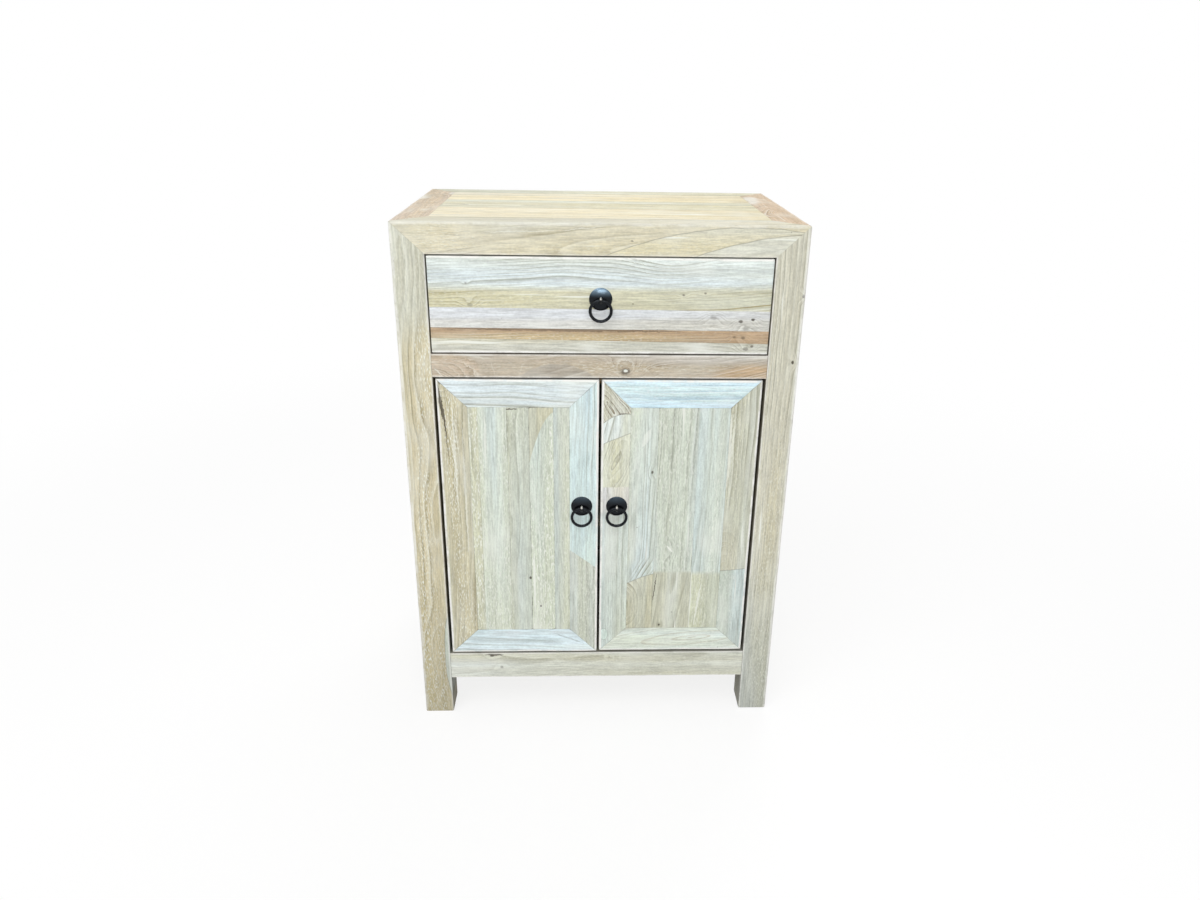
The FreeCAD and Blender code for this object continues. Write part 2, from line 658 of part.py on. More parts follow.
def pull_ring(pull):
    """Plain ring hanging in its eyelet."""
    x, z = PULLS[pull][:2]
    return Part.makeTorus(RING_R, RING_WIRE_R, Vector(x, PLANE - EYE_OUT, z - RING_R), Vector(0, 1, 0))


# ---------------------------------------------------------------- all nodes
def export_carcass():
    for end, sy in (("front", -1), ("back", 1)):
        for side, sx in SIDE_SIGN.items():
            export("post_" + end + "_" + side, post(sx, sy))
        export("top_rail_" + end, top_cross_rail(sy))
        export("bottom_rail_" + end, bottom_cross_rail(sy))
    for side, sx in SIDE_SIGN.items():
        export("top_rail_" + side, top_side_rail(sx))
        export("bottom_rail_" + side, bottom_side_rail(sx))
        export("side_panel_" + side, side_panel(sx))
        export("drawer_runner_" + side, runner(sx))
    for place, board in zip(("front", "middle", "back"), top_boards()):
        export("top_board_" + place, board)
    export("top_batten", batten())
    export("middle_rail", middle_rail())
    export("back_panel", back_panel())
    export("cupboard_floor", cupboard_floor())
    export("shelf", shelf())
    export("shelf_cleats", cleat(-1), cleat(1))
    export("catch_block", catch_block())
    export("catch_magnets", magnet(-1), magnet(1))
    export("carcass_screws", *[screw(*place) for place in side_screw_places() + catch_screw_places()])


def export_drawer():
    for number, stave in enumerate(drawer_staves(), 1):
        export("drawer_front_stave_" + str(number), stave)
    export("drawer_side_left", drawer_side(-1))
    export("drawer_side_right", drawer_side(1))
    export("drawer_back", drawer_back())
    export("drawer_bottom", drawer_bottom())


def export_doors():
    for side, door in DOORS.items():
        name = "door_" + side
        export(name + "_stile_hinge", door_stile(door, 0, side))
        export(name + "_stile_meeting", door_stile(door, 3, side))
        export(name + "_rail_low", door_rail(door, "low", side))
        export(name + "_rail_top", door_rail(door, "top", side))
        export(name + "_panel", door_panel(door))
        export(name + "_pivot_pins", *pivot_pins(door))
        export(name + "_strike", strike(SIDE_SIGN[side]))


def export_pulls():
    for pull in PULLS:
        export(pull + "_pull_plate", pull_plate(pull))
        export(pull + "_pull_eyelet", pull_eyelet(pull))
        export(pull + "_pull_ring", pull_ring(pull))


os.makedirs("parts", exist_ok=True)
export_carcass()
export_drawer()
export_doors()
export_pulls()
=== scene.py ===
import json
import math

import bpy
import numpy as np
from mathutils import Euler, Matrix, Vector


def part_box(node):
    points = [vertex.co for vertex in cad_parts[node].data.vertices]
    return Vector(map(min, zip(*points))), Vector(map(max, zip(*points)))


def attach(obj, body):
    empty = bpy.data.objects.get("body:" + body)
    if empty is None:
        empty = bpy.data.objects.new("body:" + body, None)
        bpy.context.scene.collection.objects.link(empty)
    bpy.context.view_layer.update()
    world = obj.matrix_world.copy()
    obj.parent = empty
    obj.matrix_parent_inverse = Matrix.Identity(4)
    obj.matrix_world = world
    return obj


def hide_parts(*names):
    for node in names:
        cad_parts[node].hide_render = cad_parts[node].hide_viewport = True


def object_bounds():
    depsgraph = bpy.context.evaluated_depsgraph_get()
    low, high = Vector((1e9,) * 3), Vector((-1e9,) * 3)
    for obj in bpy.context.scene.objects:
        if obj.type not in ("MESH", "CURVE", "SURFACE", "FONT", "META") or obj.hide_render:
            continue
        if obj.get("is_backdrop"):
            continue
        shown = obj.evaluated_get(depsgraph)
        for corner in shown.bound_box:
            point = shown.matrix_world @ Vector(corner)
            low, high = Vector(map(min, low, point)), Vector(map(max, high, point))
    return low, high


# Small elm cabinet: old limed boards, ring pulls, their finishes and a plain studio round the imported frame.
# Metres, +Z up, the front faces -Y. Lengths given in millimetres become metres with MM.

bl_info = {
    "name": "Elm side cabinet",
    "version": (1, 0, 0),
    "blender": (4, 5, 0),
    "location": "View3D > Sidebar > Cabinet",
    "description": "Timber, iron and studio of a small limed elm cabinet",
    "category": "Add Mesh",
}

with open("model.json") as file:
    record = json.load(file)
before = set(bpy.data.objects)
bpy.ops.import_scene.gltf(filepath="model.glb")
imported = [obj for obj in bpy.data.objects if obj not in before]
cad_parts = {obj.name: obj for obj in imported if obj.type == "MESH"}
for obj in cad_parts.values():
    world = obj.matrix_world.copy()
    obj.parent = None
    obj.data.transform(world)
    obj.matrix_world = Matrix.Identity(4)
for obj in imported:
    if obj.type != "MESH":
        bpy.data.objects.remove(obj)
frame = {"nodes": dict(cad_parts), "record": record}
CAD_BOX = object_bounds()

MM = 0.001
X, Y, Z = 0, 1, 2
AXIS = "xyz"

# ---------------------------------------------------------------- places read from the frame
BODY = {node: body for body, nodes in frame["record"]["behaviour"]["bodies"].items() for node in nodes}


def span(node):
    """Lowest and highest corner of a CAD node as arrays."""
    low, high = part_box(node)
    return np.array(low), np.array(high)


POST_LOW, POST_HIGH = span("post_front_left")
SIDE = -POST_LOW[X]
FRONT = POST_LOW[Y]
BACK = span("post_back_left")[1][Y]
HEIGHT = POST_HIGH[Z]
POST = POST_HIGH[X] - POST_LOW[X]
TOP_RAIL = HEIGHT - span("top_rail_front")[0][Z]

# ---------------------------------------------------------------- joinery that the boxes of the nodes include
TONGUE = 8 * MM                  # panels reach this far into their grooves
TENON = 20 * MM                  # rails reach this far into the posts
STAVE_JOINTS = ((752, 753), (727.5, 724.5), (697, 694), (681, 675))   # heights at the left and right end, mm
DOOR_MEMBER = 45.5 * MM

# ---------------------------------------------------------------- mesh steps
ROW_PITCH = 14 * MM              # distance between the cross-sections of a board
FADE = 3 * MM                    # width over which edge marks fade out
SUPPORT = 0.3 * MM               # distance of the points that keep the flats flat beside a rounded edge
SUPPORT_MARK = 0.8               # edge mark of those points
END_ROUND = 0.25 * MM            # rounding of the ends of a board
ARC_STEPS = 4
LATHE_STEPS = 72
DOME_STEPS = 14
RING_STEPS = 96
WIRE_STEPS = 24
PIN_STEPS = 16
EYE_STEPS = 40
BEND_STEPS = 6
FLOOR_STEPS = 96
SHARP_ANGLE = math.radians(38)

# ---------------------------------------------------------------- wear and hand work of the shapes
WAVER_RANGE = (0.7, 1.5)         # an edge's rounding wanders between these shares of its radius
WAVER_PITCH = 0.038              # distance between the random knots along an edge
WAVER_MARGIN = 0.05              # the knots start this far before the board
OUTER_SHARE = 0.9                # the corners of a frame are rounded by this share of the edges' radius
EYE_FLATTENED = 1.6              # the eye of a split pin is hammered this much wider at its front
PLATE_BEVEL = 0.25 * MM          # rounding of the rim of a plate


# ---------------------------------------------------------------- settings that a user may change
def colour_setting(name, description, value):
    """Colour property in display values."""
    return bpy.props.FloatVectorProperty(
        name=name, description=description, default=value, subtype="COLOR_GAMMA", size=3, min=0, max=1)


def length_setting(name, description, value):
    """Length property in metres."""
    return bpy.props.FloatProperty(
        name=name, description=description, default=value, min=0, unit="LENGTH", precision=5)


def number_setting(name, description, value, unit):
    """Number property with a unit."""
    return bpy.props.FloatProperty(name=name, description=description, default=value, unit=unit)


def share_setting(name, description, value):
    """Property between 0 and 1."""
    return bpy.props.FloatProperty(
        name=name, description=description, default=value, min=0, max=1, subtype="FACTOR")


class CabinetEdges(bpy.types.PropertyGroup):
    """Roundings of the timber."""

    worn: length_setting("Worn edge", "Radius of the outer edges of the carcass", 2.4 * MM)
    door: length_setting("Door edge", "Radius of the outer edges of doors and drawer front", 1.9 * MM)
    eased: length_setting("Eased edge", "Radius of edges beside a neighbouring piece", 0.7 * MM)
    seam: length_setting("Seam", "Radius of glued edges", 0.22 * MM)
    foot: length_setting("Foot", "Rounding under the feet", 1.5 * MM)


class CabinetPulls(bpy.types.PropertyGroup):
    """Sizes of the ring pulls that the frame doesn't give."""

    rim: length_setting("Plate rim", "Thickness of the plate at its edge", 0.6 * MM)
    hole: length_setting("Plate hole", "Radius of the hole for the split pin", 1.6 * MM)
    eye: length_setting("Eye", "Radius of the eye's centre line", 4.0 * MM)
    eye_wire: length_setting("Eye wire", "Radius of the wire of the eye", 1.2 * MM)
    leg_gap: length_setting("Leg gap", "Half the distance between the legs of the split pin", 1.0 * MM)
    leg: length_setting("Leg", "Length of each bent leg behind the wood", 8.9 * MM)


class CabinetColours(bpy.types.PropertyGroup):
    """Colours of the limed wood and the metal."""

    straw: colour_setting("Straw", "Yellow grey boards", (0.815, 0.79, 0.68))
    linen: colour_setting("Linen", "Light beige boards", (0.84, 0.82, 0.74))
    greige: colour_setting("Greige", "Grey beige boards", (0.80, 0.80, 0.735))
    ash: colour_setting("Ash", "Pale grey boards", (0.80, 0.80, 0.735))
    sage: colour_setting("Sage", "Grey green boards", (0.80, 0.825, 0.775))
    mist: colour_setting("Mist", "Light grey green boards", (0.815, 0.85, 0.815))
    mint: colour_setting("Mint", "Whitest limed boards", (0.86, 0.89, 0.87))
    sky: colour_setting("Sky", "Bluish limed boards", (0.83, 0.90, 0.90))
    cream: colour_setting("Cream", "Warm pale boards", (0.80, 0.79, 0.685))
    lilac: colour_setting("Lilac", "Cool grey white boards", (0.84, 0.84, 0.82))
    honey: colour_setting("Honey", "Yellow brown patches", (0.79, 0.785, 0.69))
    tan: colour_setting("Tan", "Brown boards", (0.755, 0.665, 0.545))
    taupe: colour_setting("Taupe", "Grey brown boards", (0.735, 0.69, 0.615))
    peach: colour_setting("Peach", "Pinkish brown boards", (0.80, 0.73, 0.64))
    ivory: colour_setting("Ivory", "Boards of the top", (0.86, 0.825, 0.70))
    lime: colour_setting("Lime", "Whitening left in the pores", (0.93, 0.94, 0.91))
    # rubbed edges, whitened further as a painted highlight along the door and drawer edges
    worn: colour_setting("Worn", "Rubbed edges", (0.95, 0.95, 0.93))
    # dust in the joints, and also the colour of the painted shade on the faces in the gaps
    dirt: colour_setting("Dirt", "Dust in the joints", (0.27, 0.24, 0.19))
    inside: colour_setting("Inside", "Bare wood inside", (0.74, 0.66, 0.52))
    iron: colour_setting("Iron", "Blackened iron", (0.03, 0.033, 0.045))
    # painted sheen: bluish bright metal laid on the tops of the plates, standing in for a highlight
    polished: colour_setting("Polished iron", "Top of the plates, rubbed bright", (0.72, 0.85, 0.95))
    zinc: colour_setting("Zinc", "Screws and pins", (0.72, 0.72, 0.73))
    nickel: colour_setting("Nickel", "Magnets", (0.80, 0.79, 0.77))


class CabinetStudio(bpy.types.PropertyGroup):
    """Camera, lamps and floor."""

    eye: bpy.props.FloatVectorProperty(
        name="Eye", description="Place of the camera", default=(-0.026916, -1.419633, 1.039207),
        subtype="TRANSLATION", unit="LENGTH")
    shift: bpy.props.FloatVectorProperty(
        name="Shift", description="Lens shift", default=(-0.01523, -0.02139), size=2, subtype="COORDINATES")
    pitch: number_setting("Pitch", "Camera tilt, up is positive", math.radians(-21.766), "ROTATION")
    yaw: number_setting("Yaw", "Camera turn, left is positive", math.radians(-2.548), "ROTATION")
    roll: number_setting("Roll", "Camera roll", math.radians(-1.1035), "ROTATION")
    lens: number_setting("Lens", "Focal length in millimetres", 25.92, "CAMERA")
    sky_light: share_setting("Sky light", "Strength of the even light", 0.435)
    floor_glow: share_setting("Floor glow", "How white the floor looks", 0.8)
    key_power: number_setting("Key", "Lamp above the front left", 56.0, "POWER")
    fill_power: number_setting("Fill", "Lamp at the front right", 3.0, "POWER")
    front_power: number_setting("Front", "Low wide lamp in front", 19.0, "POWER")
    back_power: number_setting("Back", "Lamp above and behind", 38.0, "POWER")


# ---------------------------------------------------------------- surfaces worked out with numpy
def across(along):
    """The two axes across a board, in cyclic order, so that outlines turn the same way round."""
    return (along + 1) % 3, (along + 2) % 3


def round_angles(count):
    """Angles evenly spaced round a circle."""
    return np.linspace(0, 2 * math.pi, count, endpoint=False)


def ring_faces(rows, columns, wrap_rows=False):
    """Four-sided faces of a grid that closes on itself across its columns, and along its rows if asked."""
    count = rows if wrap_rows else rows - 1
    i, j = np.meshgrid(np.arange(count), np.arange(columns), indexing="ij")
    after_i, after_j = (i + 1) % rows, (j + 1) % columns
    corners = [i * columns + j, i * columns + after_j, after_i * columns + after_j, after_i * columns + j]
    return np.stack(corners, -1).reshape(-1, 4)


def fan_faces(rim, centre, flip):
    """Triangles from a centre point to a closed rim."""
    corners = np.stack([np.full(len(rim), centre), rim, np.roll(rim, -1)], -1)
    return corners[:, ::-1] if flip else corners


def tube_faces(rows, columns):
    """Faces of a tube, and of fans to two further points that close its start and its end."""
    rim = np.arange(columns)
    return [ring_faces(rows, columns), fan_faces(rim, rows * columns, True),
            fan_faces(rim + (rows - 1) * columns, rows * columns + 1, False)]


def signed_volume(points, faces):
    """Volume of a closed shell: a sum of tetrahedra from the origin, negative if its faces point inwards."""
    total = 0.0
    for group in faces:
        for last in range(2, group.shape[1]):
            a, b, c = points[group[:, 0]], points[group[:, last - 1]], points[group[:, last]]
            total += np.einsum("ij,ij->i", a, np.cross(b, c)).sum() / 6
    return total


def shell(points, faces, **marks):
    """A closed shell: points, groups of faces that all point outwards, and marks such as arris and joint."""
    if signed_volume(points - points.mean(0), faces) < 0:
        faces = [group[:, ::-1] for group in faces]
    return {"points": points, "faces": faces, "marks": marks}


def edge_radii(along, named, default):
    """Radii of a board's four long edges in the order of its outline; `named` maps edges like -x-y."""
    radii = []
    for signs in ((1, 1), (-1, 1), (-1, -1), (1, -1)):
        faces = sorted(zip(across(along), signs))
        label = "".join(("+" if sign > 0 else "-") + AXIS[axis] for axis, sign in faces)
        radii.append(named.get(label, default))
    return np.array(radii)


def wavering(radii, places, seed):
    """Edge radii along a board: each wanders about its value, straight between random knots."""
    rng = np.random.default_rng(seed)
    knots = np.arange(places.min() - WAVER_MARGIN, places.max() + 2 * WAVER_MARGIN, WAVER_PITCH)
    factors = rng.uniform(*WAVER_RANGE, (len(knots), len(radii)))
    return np.stack([r * np.interp(places, knots, factors[:, k]) for k, r in enumerate(radii)], -1)


def board(low, high, along, edges=None, default_edge=None, start=None, end=None, seams=(1.0, 1.0),
          dark=(), seed=0):
    """A board: a rectangle with four rounded corners carried along an axis.

    Each corner is a quarter circle about a centre that lies its radius in from both faces. Two points beside
    each arc keep the flats flat. The section is at s = start * (1 - w) + end * w + offset, where start and
    end may depend on the place across, which gives mitred ends; the last row at either end is drawn in by
    the end rounding. The mark arris is 1 on the rounded outer edges, joint on the glued ones and the ends,
    and gap on the dark faces.
    """
    low, high = np.array(low, float), np.array(high, float)
    sizes = bpy.context.scene.cabinet_edges
    radii = edge_radii(along, edges or {}, sizes.seam if default_edge is None else default_edge)
    u, v = across(along)
    length = high[along] - low[along]
    w = np.linspace(0, 1, max(int((length - 2 * FADE) / ROW_PITCH), 2) + 1)
    weight = np.concatenate([[0, 0], w, [1, 1]])
    offset = np.concatenate([[0, END_ROUND], FADE * (1 - 2 * w), [-END_ROUND, 0]])
    drawn_in = np.concatenate([[END_ROUND, 0], 0 * w, [0, END_ROUND]])[:, None, None]
    rows = len(weight)
    r = wavering(radii, low[along] + weight * length, seed)[:, :, None]

    turn = np.concatenate([[0, 0], np.linspace(0, 1, ARC_STEPS + 1), [1, 1]])
    slide = np.concatenate([[-FADE, -SUPPORT], np.zeros(ARC_STEPS + 1), [SUPPORT, FADE]])
    mark = np.concatenate([[0, SUPPORT_MARK], np.ones(ARC_STEPS + 1), [SUPPORT_MARK, 0]])
    angle = (np.arange(4)[:, None] + turn) * math.pi / 2
    columns = 4 * len(turn)
    centre = (low + high) / 2
    place_u, place_v = (
        (np.array(signs)[:, None] * ((high[axis] - low[axis]) / 2 - drawn_in - r) + r * arc + slide * tangent)
        .reshape(rows, columns) + centre[axis]
        for axis, signs, arc, tangent in ((u, (1, -1, -1, 1), np.cos(angle), -np.sin(angle)),
                                          (v, (1, 1, -1, -1), np.sin(angle), np.cos(angle))))

    def limit(function, plain, pu, pv):
        """Place of an end for points across the board."""
        if function is None:
            return np.full(np.shape(pu), plain)
        where = np.zeros(np.shape(pu) + (3,))
        where[..., u], where[..., v] = pu, pv
        return function(where)

    first = limit(start, low[along], place_u, place_v)
    last = limit(end, high[along], place_u, place_v)
    s = first * (1 - weight[:, None]) + last * weight[:, None] + offset[:, None]
    points = np.zeros((rows * columns + 2, 3))
    points[:-2, along], points[:-2, u], points[:-2, v] = s.ravel(), place_u.ravel(), place_v.ravel()
    points[-2:] = centre
    points[-2, along] = limit(start, low[along], centre[u], centre[v])
    points[-1, along] = limit(end, high[along], centre[u], centre[v])

    is_worn = (radii > 1.5 * sizes.seam)[:, None]
    at_end = np.zeros((rows, 1))
    at_end[:2], at_end[-2:] = seams
    arris = np.tile(np.where(is_worn, mark, 0).ravel(), rows)
    joint = np.maximum(np.where(is_worn, 0, mark).reshape(1, columns), at_end).ravel()
    outline = ["+" + AXIS[u], "+" + AXIS[v], "-" + AXIS[u], "-" + AXIS[v]]
    facing = [outline[(corner + (2 * k >= len(turn))) % 4] for corner in range(4) for k in range(len(turn))]
    # gap marks the faces given as dark, which the finish darkens as painted shade
    gap = np.tile(np.isin(facing, dark).astype(float), rows)
    return shell(points, tube_faces(rows, columns), arris=np.append(arris, [0, 0]),
                 joint=np.append(joint, seams), gap=np.append(gap, [0, 0]))


def eased(form, low, high, radius):
    """Draws a shell into a box with rounded edges: a point over the radius from the inner box moves in."""
    inner_low, inner_high = np.array(low) + radius, np.array(high) - radius
    points = form["points"]
    nearest = np.clip(points, inner_low, inner_high)
    away = points - nearest
    distance = np.linalg.norm(away, axis=1, keepdims=True)
    form["points"] = np.where(distance > radius, nearest + away * radius / np.maximum(distance, 1e-9), points)
    return form


def lathe(profile, centre):
    """A closed outline of (radius, forward) points turned round the axis along -Y through a centre."""
    radius, forward = np.array(profile, float).T[:, :, None]
    angle = round_angles(LATHE_STEPS)
    points = np.stack(np.broadcast_arrays(centre[X] + radius * np.cos(angle), centre[Y] - forward,
                                          centre[Z] + radius * np.sin(angle)), -1)
    return shell(points.reshape(-1, 3), [ring_faces(len(radius), LATHE_STEPS, wrap_rows=True)])


def hoop(centre, ring_radius, wire_radius, axis):
    """A ring of round wire: a small circle carried round a large one that lies across the given axis."""
    u, v = across(axis)
    around = round_angles(RING_STEPS)[:, None]
    wire_angle = round_angles(WIRE_STEPS)
    reach = ring_radius + wire_radius * np.cos(wire_angle)
    points = np.zeros((RING_STEPS, WIRE_STEPS, 3))
    points[..., u] = centre[u] + reach * np.cos(around)
    points[..., v] = centre[v] + reach * np.sin(around)
    points[..., axis] = centre[axis] + wire_radius * np.sin(wire_angle)
    return shell(points.reshape(-1, 3), [ring_faces(RING_STEPS, WIRE_STEPS, wrap_rows=True)])


def wire(path, radius, side, widening):
    """A wire along a flat path, ends closed: ovals spanned by the side axis, there widened, and the path's
    normal."""
    path, side = np.array(path, float), np.array(side, float)
    ahead = np.gradient(path, axis=0)
    ahead /= np.linalg.norm(ahead, axis=1, keepdims=True)
    normal = np.cross(ahead, side)[:, None, :]
    angle = round_angles(PIN_STEPS)[:, None]
    oval = np.cos(angle) * side * widening[:, None, None] + np.sin(angle) * normal
    points = np.concatenate([(path[:, None, :] + radius * oval).reshape(-1, 3), path[:1], path[-1:]])
    return shell(points, tube_faces(len(path), PIN_STEPS))


def mesh_object(name, shells, materials):
    """One mesh object from closed shells; each shell takes the material at its own place in the list."""
    starts = np.cumsum([0] + [len(s["points"]) for s in shells])
    used = list(dict.fromkeys(materials))
    corners, sizes, slots = [], [], []
    for s, start, material in zip(shells, starts, materials):
        for group in s["faces"]:
            corners.append((group + start).ravel())
            sizes.append(np.full(len(group), group.shape[1]))
            slots.append(np.full(len(group), used.index(material)))
    corners, sizes, slots = (np.concatenate(parts).astype(np.int32) for parts in (corners, sizes, slots))
    mesh = bpy.data.meshes.new(name)
    mesh.vertices.add(starts[-1])
    mesh.vertices.foreach_set("co", np.concatenate([s["points"] for s in shells]).astype(np.float32).ravel())
    mesh.loops.add(len(corners))
    mesh.loops.foreach_set("vertex_index", corners)
    mesh.polygons.add(len(sizes))
    mesh.polygons.foreach_set("loop_start", (np.cumsum(sizes) - sizes).astype(np.int32))
    for material in used:
        mesh.materials.append(material)
    mesh.polygons.foreach_set("material_index", slots)
    mesh.update(calc_edges=True)
    for mark in sorted({m for s in shells for m in s["marks"]}):
        values = [s["marks"].get(mark, np.zeros(len(s["points"]))) for s in shells]
        attribute = mesh.attributes.new(mark, "FLOAT", "POINT")
        attribute.data.foreach_set("value", np.concatenate(values).astype(np.float32))
    mesh.validate()
    mesh.shade_smooth()
    mesh.set_sharp_from_angle(angle=SHARP_ANGLE)
    piece = bpy.data.objects.new(name, mesh)
    bpy.context.scene.collection.objects.link(piece)
    return piece


def settle(piece, node):
    """Lets a piece stand for its CAD node, on the same body."""
    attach(piece, BODY[node])
    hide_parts(node)
    return piece


def dress(node, material):
    """Gives a CAD node its finish."""
    mesh = frame["nodes"][node].data
    mesh.materials.clear()
    mesh.materials.append(material)


# ---------------------------------------------------------------- node trees
NOISE_MIDDLE = (0.5, 0.5, 0.5)           # mean of a noise colour


def linear(colour):
    """Linear light from display values: straight near black, a power of 2.4 above."""
    values = np.asarray(colour[:3], float)
    return tuple(np.where(values <= 0.04045, values / 12.92, ((values + 0.055) / 1.055) ** 2.4)) + (1.0,)


class Graph:
    """Adds nodes to a tree with short calls, each of which returns a value that others can be made from."""

    def __init__(self, tree):
        self.tree = tree

    def fill(self, node, inputs):
        """Sets or links the inputs of a node."""
        for key, value in inputs.items():
            if isinstance(value, Value):
                self.tree.links.new(value.socket, node.inputs[key])
            else:
                node.inputs[key].default_value = value

    def add(self, kind, inputs=None, output=0, **settings):
        node = self.tree.nodes.new("ShaderNode" + kind)
        for key, value in settings.items():
            setattr(node, key, value)
        self.fill(node, inputs or {})
        return Value(self, node.outputs[output])

    def group(self, name, inputs):
        """Puts a shared group in the tree and returns its outputs by name; its first use makes the group."""
        node = self.tree.nodes.new("ShaderNodeGroup")
        node.node_tree = bpy.data.node_groups.get(name) or GROUP_MAKERS[name](name)
        self.fill(node, inputs)
        return {socket.name: Value(self, socket) for socket in node.outputs}

    def maths(self, operation, *values, **settings):
        return self.add("Math", dict(enumerate(values)), operation=operation, **settings)

    def vector(self, operation, *values, output=0):
        return self.add("VectorMath", dict(enumerate(values)), output, operation=operation)

    def length(self, vector):
        return self.vector("LENGTH", vector, output=1)

    def part(self, vector, axis):
        return self.add("SeparateXYZ", {0: vector}, axis)

    def most(self, first, *others):
        """The largest of some values."""
        for other in others:
            first = self.maths("MAXIMUM", first, other)
        return first

    def noise(self, vector, detail=2.0, roughness=0.5, output=0):
        inputs = {"Vector": vector, "Scale": 1.0, "Detail": detail, "Roughness": roughness}
        return self.add("TexNoise", inputs, output)

    def step(self, value, low, high, to_low=0.0, to_high=1.0):
        """A smooth step of a value between two limits, falling if the first limit is the higher one."""
        return self.add("MapRange", {0: value, 1: low, 2: high, 3: to_low, 4: to_high},
                        interpolation_type="SMOOTHSTEP")

    def mix(self, factor, first, second, blend="MIX"):
        return self.add("Mix", {0: factor, 6: first, 7: second}, 2, data_type="RGBA", blend_type=blend)

    def grey(self, value):
        return self.add("CombineXYZ", {0: value, 1: value, 2: value})

    def bump(self, height, strength, distance):
        return self.add("Bump", {"Strength": strength, "Distance": distance, "Height": height})


class Value:
    """An output of a node. Sums and products with it are new nodes, for numbers or for vectors."""

    def __init__(self, graph, socket):
        self.graph = graph
        self.socket = socket
        self.is_number = socket.type == "VALUE"

    def reckon(self, operation, *values):
        return (self.graph.maths if self.is_number else self.graph.vector)(operation, *values)

    def __add__(self, other):
        return self.reckon("ADD", self, other)

    def __sub__(self, other):
        return self.reckon("SUBTRACT", self, other)

    def __rsub__(self, other):
        return self.reckon("SUBTRACT", other, self)

    def __truediv__(self, other):
        return self.reckon("DIVIDE", self, other)

    def __mul__(self, other):
        by_number = other.is_number if isinstance(other, Value) else isinstance(other, (int, float))
        if by_number and not self.is_number:
            return self.graph.add("VectorMath", {0: self, "Scale": other}, operation="SCALE")
        return self.reckon("MULTIPLY", self, other)

    __radd__ = __add__


def new_group(name, inputs, outputs):
    """An empty node group with named sockets, each given by its kind or, for numbers, by a default value."""
    tree = bpy.data.node_groups.new(name, "ShaderNodeTree")
    for in_out, sockets in (("INPUT", inputs), ("OUTPUT", outputs)):
        for label, kind in sockets.items():
            is_default = isinstance(kind, float)
            socket_type = "NodeSocket" + ("Float" if is_default else kind)
            socket = tree.interface.new_socket(label, in_out=in_out, socket_type=socket_type)
            if is_default:
                socket.default_value = kind
    g = Graph(tree)
    given = {socket.name: Value(g, socket) for socket in tree.nodes.new("NodeGroupInput").outputs}
    return g, given, tree.nodes.new("NodeGroupOutput")


def elm_group(name):
    """One board of limed elm. Coordinates run along the grain in X, in metres from the middle of the board.

    Growth rings are the distance from a slanted pith line, bent by two slow noises, over the ring width.
    Late wood draws a dark line where the ring's fraction is high and early wood holds lime where it is low.
    Pores are short dashes along the grain, streaks are long soft bands and a few of them are white.
    """
    g, given, result = new_group(name, {
        **dict.fromkeys(("Vector", "Seed", "Pith", "Slope"), "Vector"),
        **dict.fromkeys(("Base", "Warm", "Cool", "Line", "Lime"), "Color"), "Ring width": 0.005,
        "Wander": 0.012, "Lines": 0.5, "Streaks": 0.5, "Pores": 0.5, "Wash": 0.3, "Swell": 0.0},
        {"Color": "Color", "Height": "Float"})
    place = given["Vector"]
    home = place + given["Seed"]

    def noise(along, sideways, apart, *detail):
        """Noise with so many features a metre along and across the grain, from a place apart."""
        return g.noise((home + (apart, apart, apart)) * (along, sideways, sideways), *detail)

    pith = given["Pith"] + given["Slope"] * g.part(place, X)
    distance = g.length((place - pith) * (0, 1, 1)) + given["Swell"]
    slow = noise(4.5, 9, 0.0, 1.0) - 0.5
    quick = noise(16, 48, 0.7, 1.0) - 0.5
    distance = (quick * 0.22 + slow * 1.6) * given["Wander"] + distance
    uneven = g.add("TexNoise", {"W": distance * 60.0, "Scale": 1.0, "Detail": 1.0}, noise_dimensions="1D")
    rings = uneven * 2.4 + distance / given["Ring width"]
    fraction = g.maths("FRACT", rings)
    chance = g.add("TexWhiteNoise", {"W": g.maths("FLOOR", rings) + 0.5}, noise_dimensions="1D")
    fading = g.step(noise(4.5, 18, 1.9, 1.0), 0.36, 0.60, 0.15, 1.0)
    strength = (g.maths("POWER", chance, 1.5) * 0.85 + 0.15) * fading * given["Lines"]
    late = g.step(fraction, 0.62, 0.93) * g.step(fraction, 0.94, 1.0, 1.0, 0.0)
    soft_late = g.step(fraction, 0.15, 0.95)
    early = g.step(fraction, 0.02, 0.42, 1.0, 0.0)

    pores = g.step(noise(170, 800, 2.3, 0.0), 0.54, 0.70)
    streak = noise(2.2, 60, 3.1, 3.0, 0.66)
    fibre = noise(36, 420, 4.7, 2.0, 0.6)
    grit = noise(260, 420, 5.9, 1.0)
    cloud = noise(9, 20, 5.3, 2.0, 0.6)
    band = noise(1.2, 24, 6.1, 1.0)

    colour = g.mix(g.step(band, 0.50, 0.64), given["Base"], given["Warm"])
    colour = g.mix(g.step(band, 0.49, 0.36), colour, given["Cool"])
    colour = g.mix(g.step(streak, 0.50, 0.62) * given["Streaks"], colour, DARK_STREAK, "MULTIPLY")
    colour = g.mix(g.step(streak, 0.48, 0.38) * given["Streaks"], colour, PALE_STREAK, "MULTIPLY")
    colour = g.mix(soft_late * strength * 0.30, colour, given["Line"])
    colour = g.mix(late * strength, colour, given["Line"])
    fine = g.step(fibre, 0.28, 0.72, 0.80, 1.08) + g.step(grit, 0.3, 0.7, 0.0, 0.10)
    colour = g.mix(1.0, colour, g.grey(fine), "MULTIPLY")
    limed = early * strength * 0.55
    speckled = pores * (g.step(band, 0.42, 0.60) * 0.8 + early * 0.3) * given["Pores"]
    washed = g.step(cloud, 0.50, 0.72) * given["Wash"]
    white_line = g.step(streak, 0.36, 0.30) * 0.8
    colour = g.mix(g.most(limed, speckled, washed, white_line), colour, given["Lime"])
    g.fill(result, {"Color": colour, "Height": late * 0.35 + fibre * 0.5 - pores * 0.4})
    return g.tree


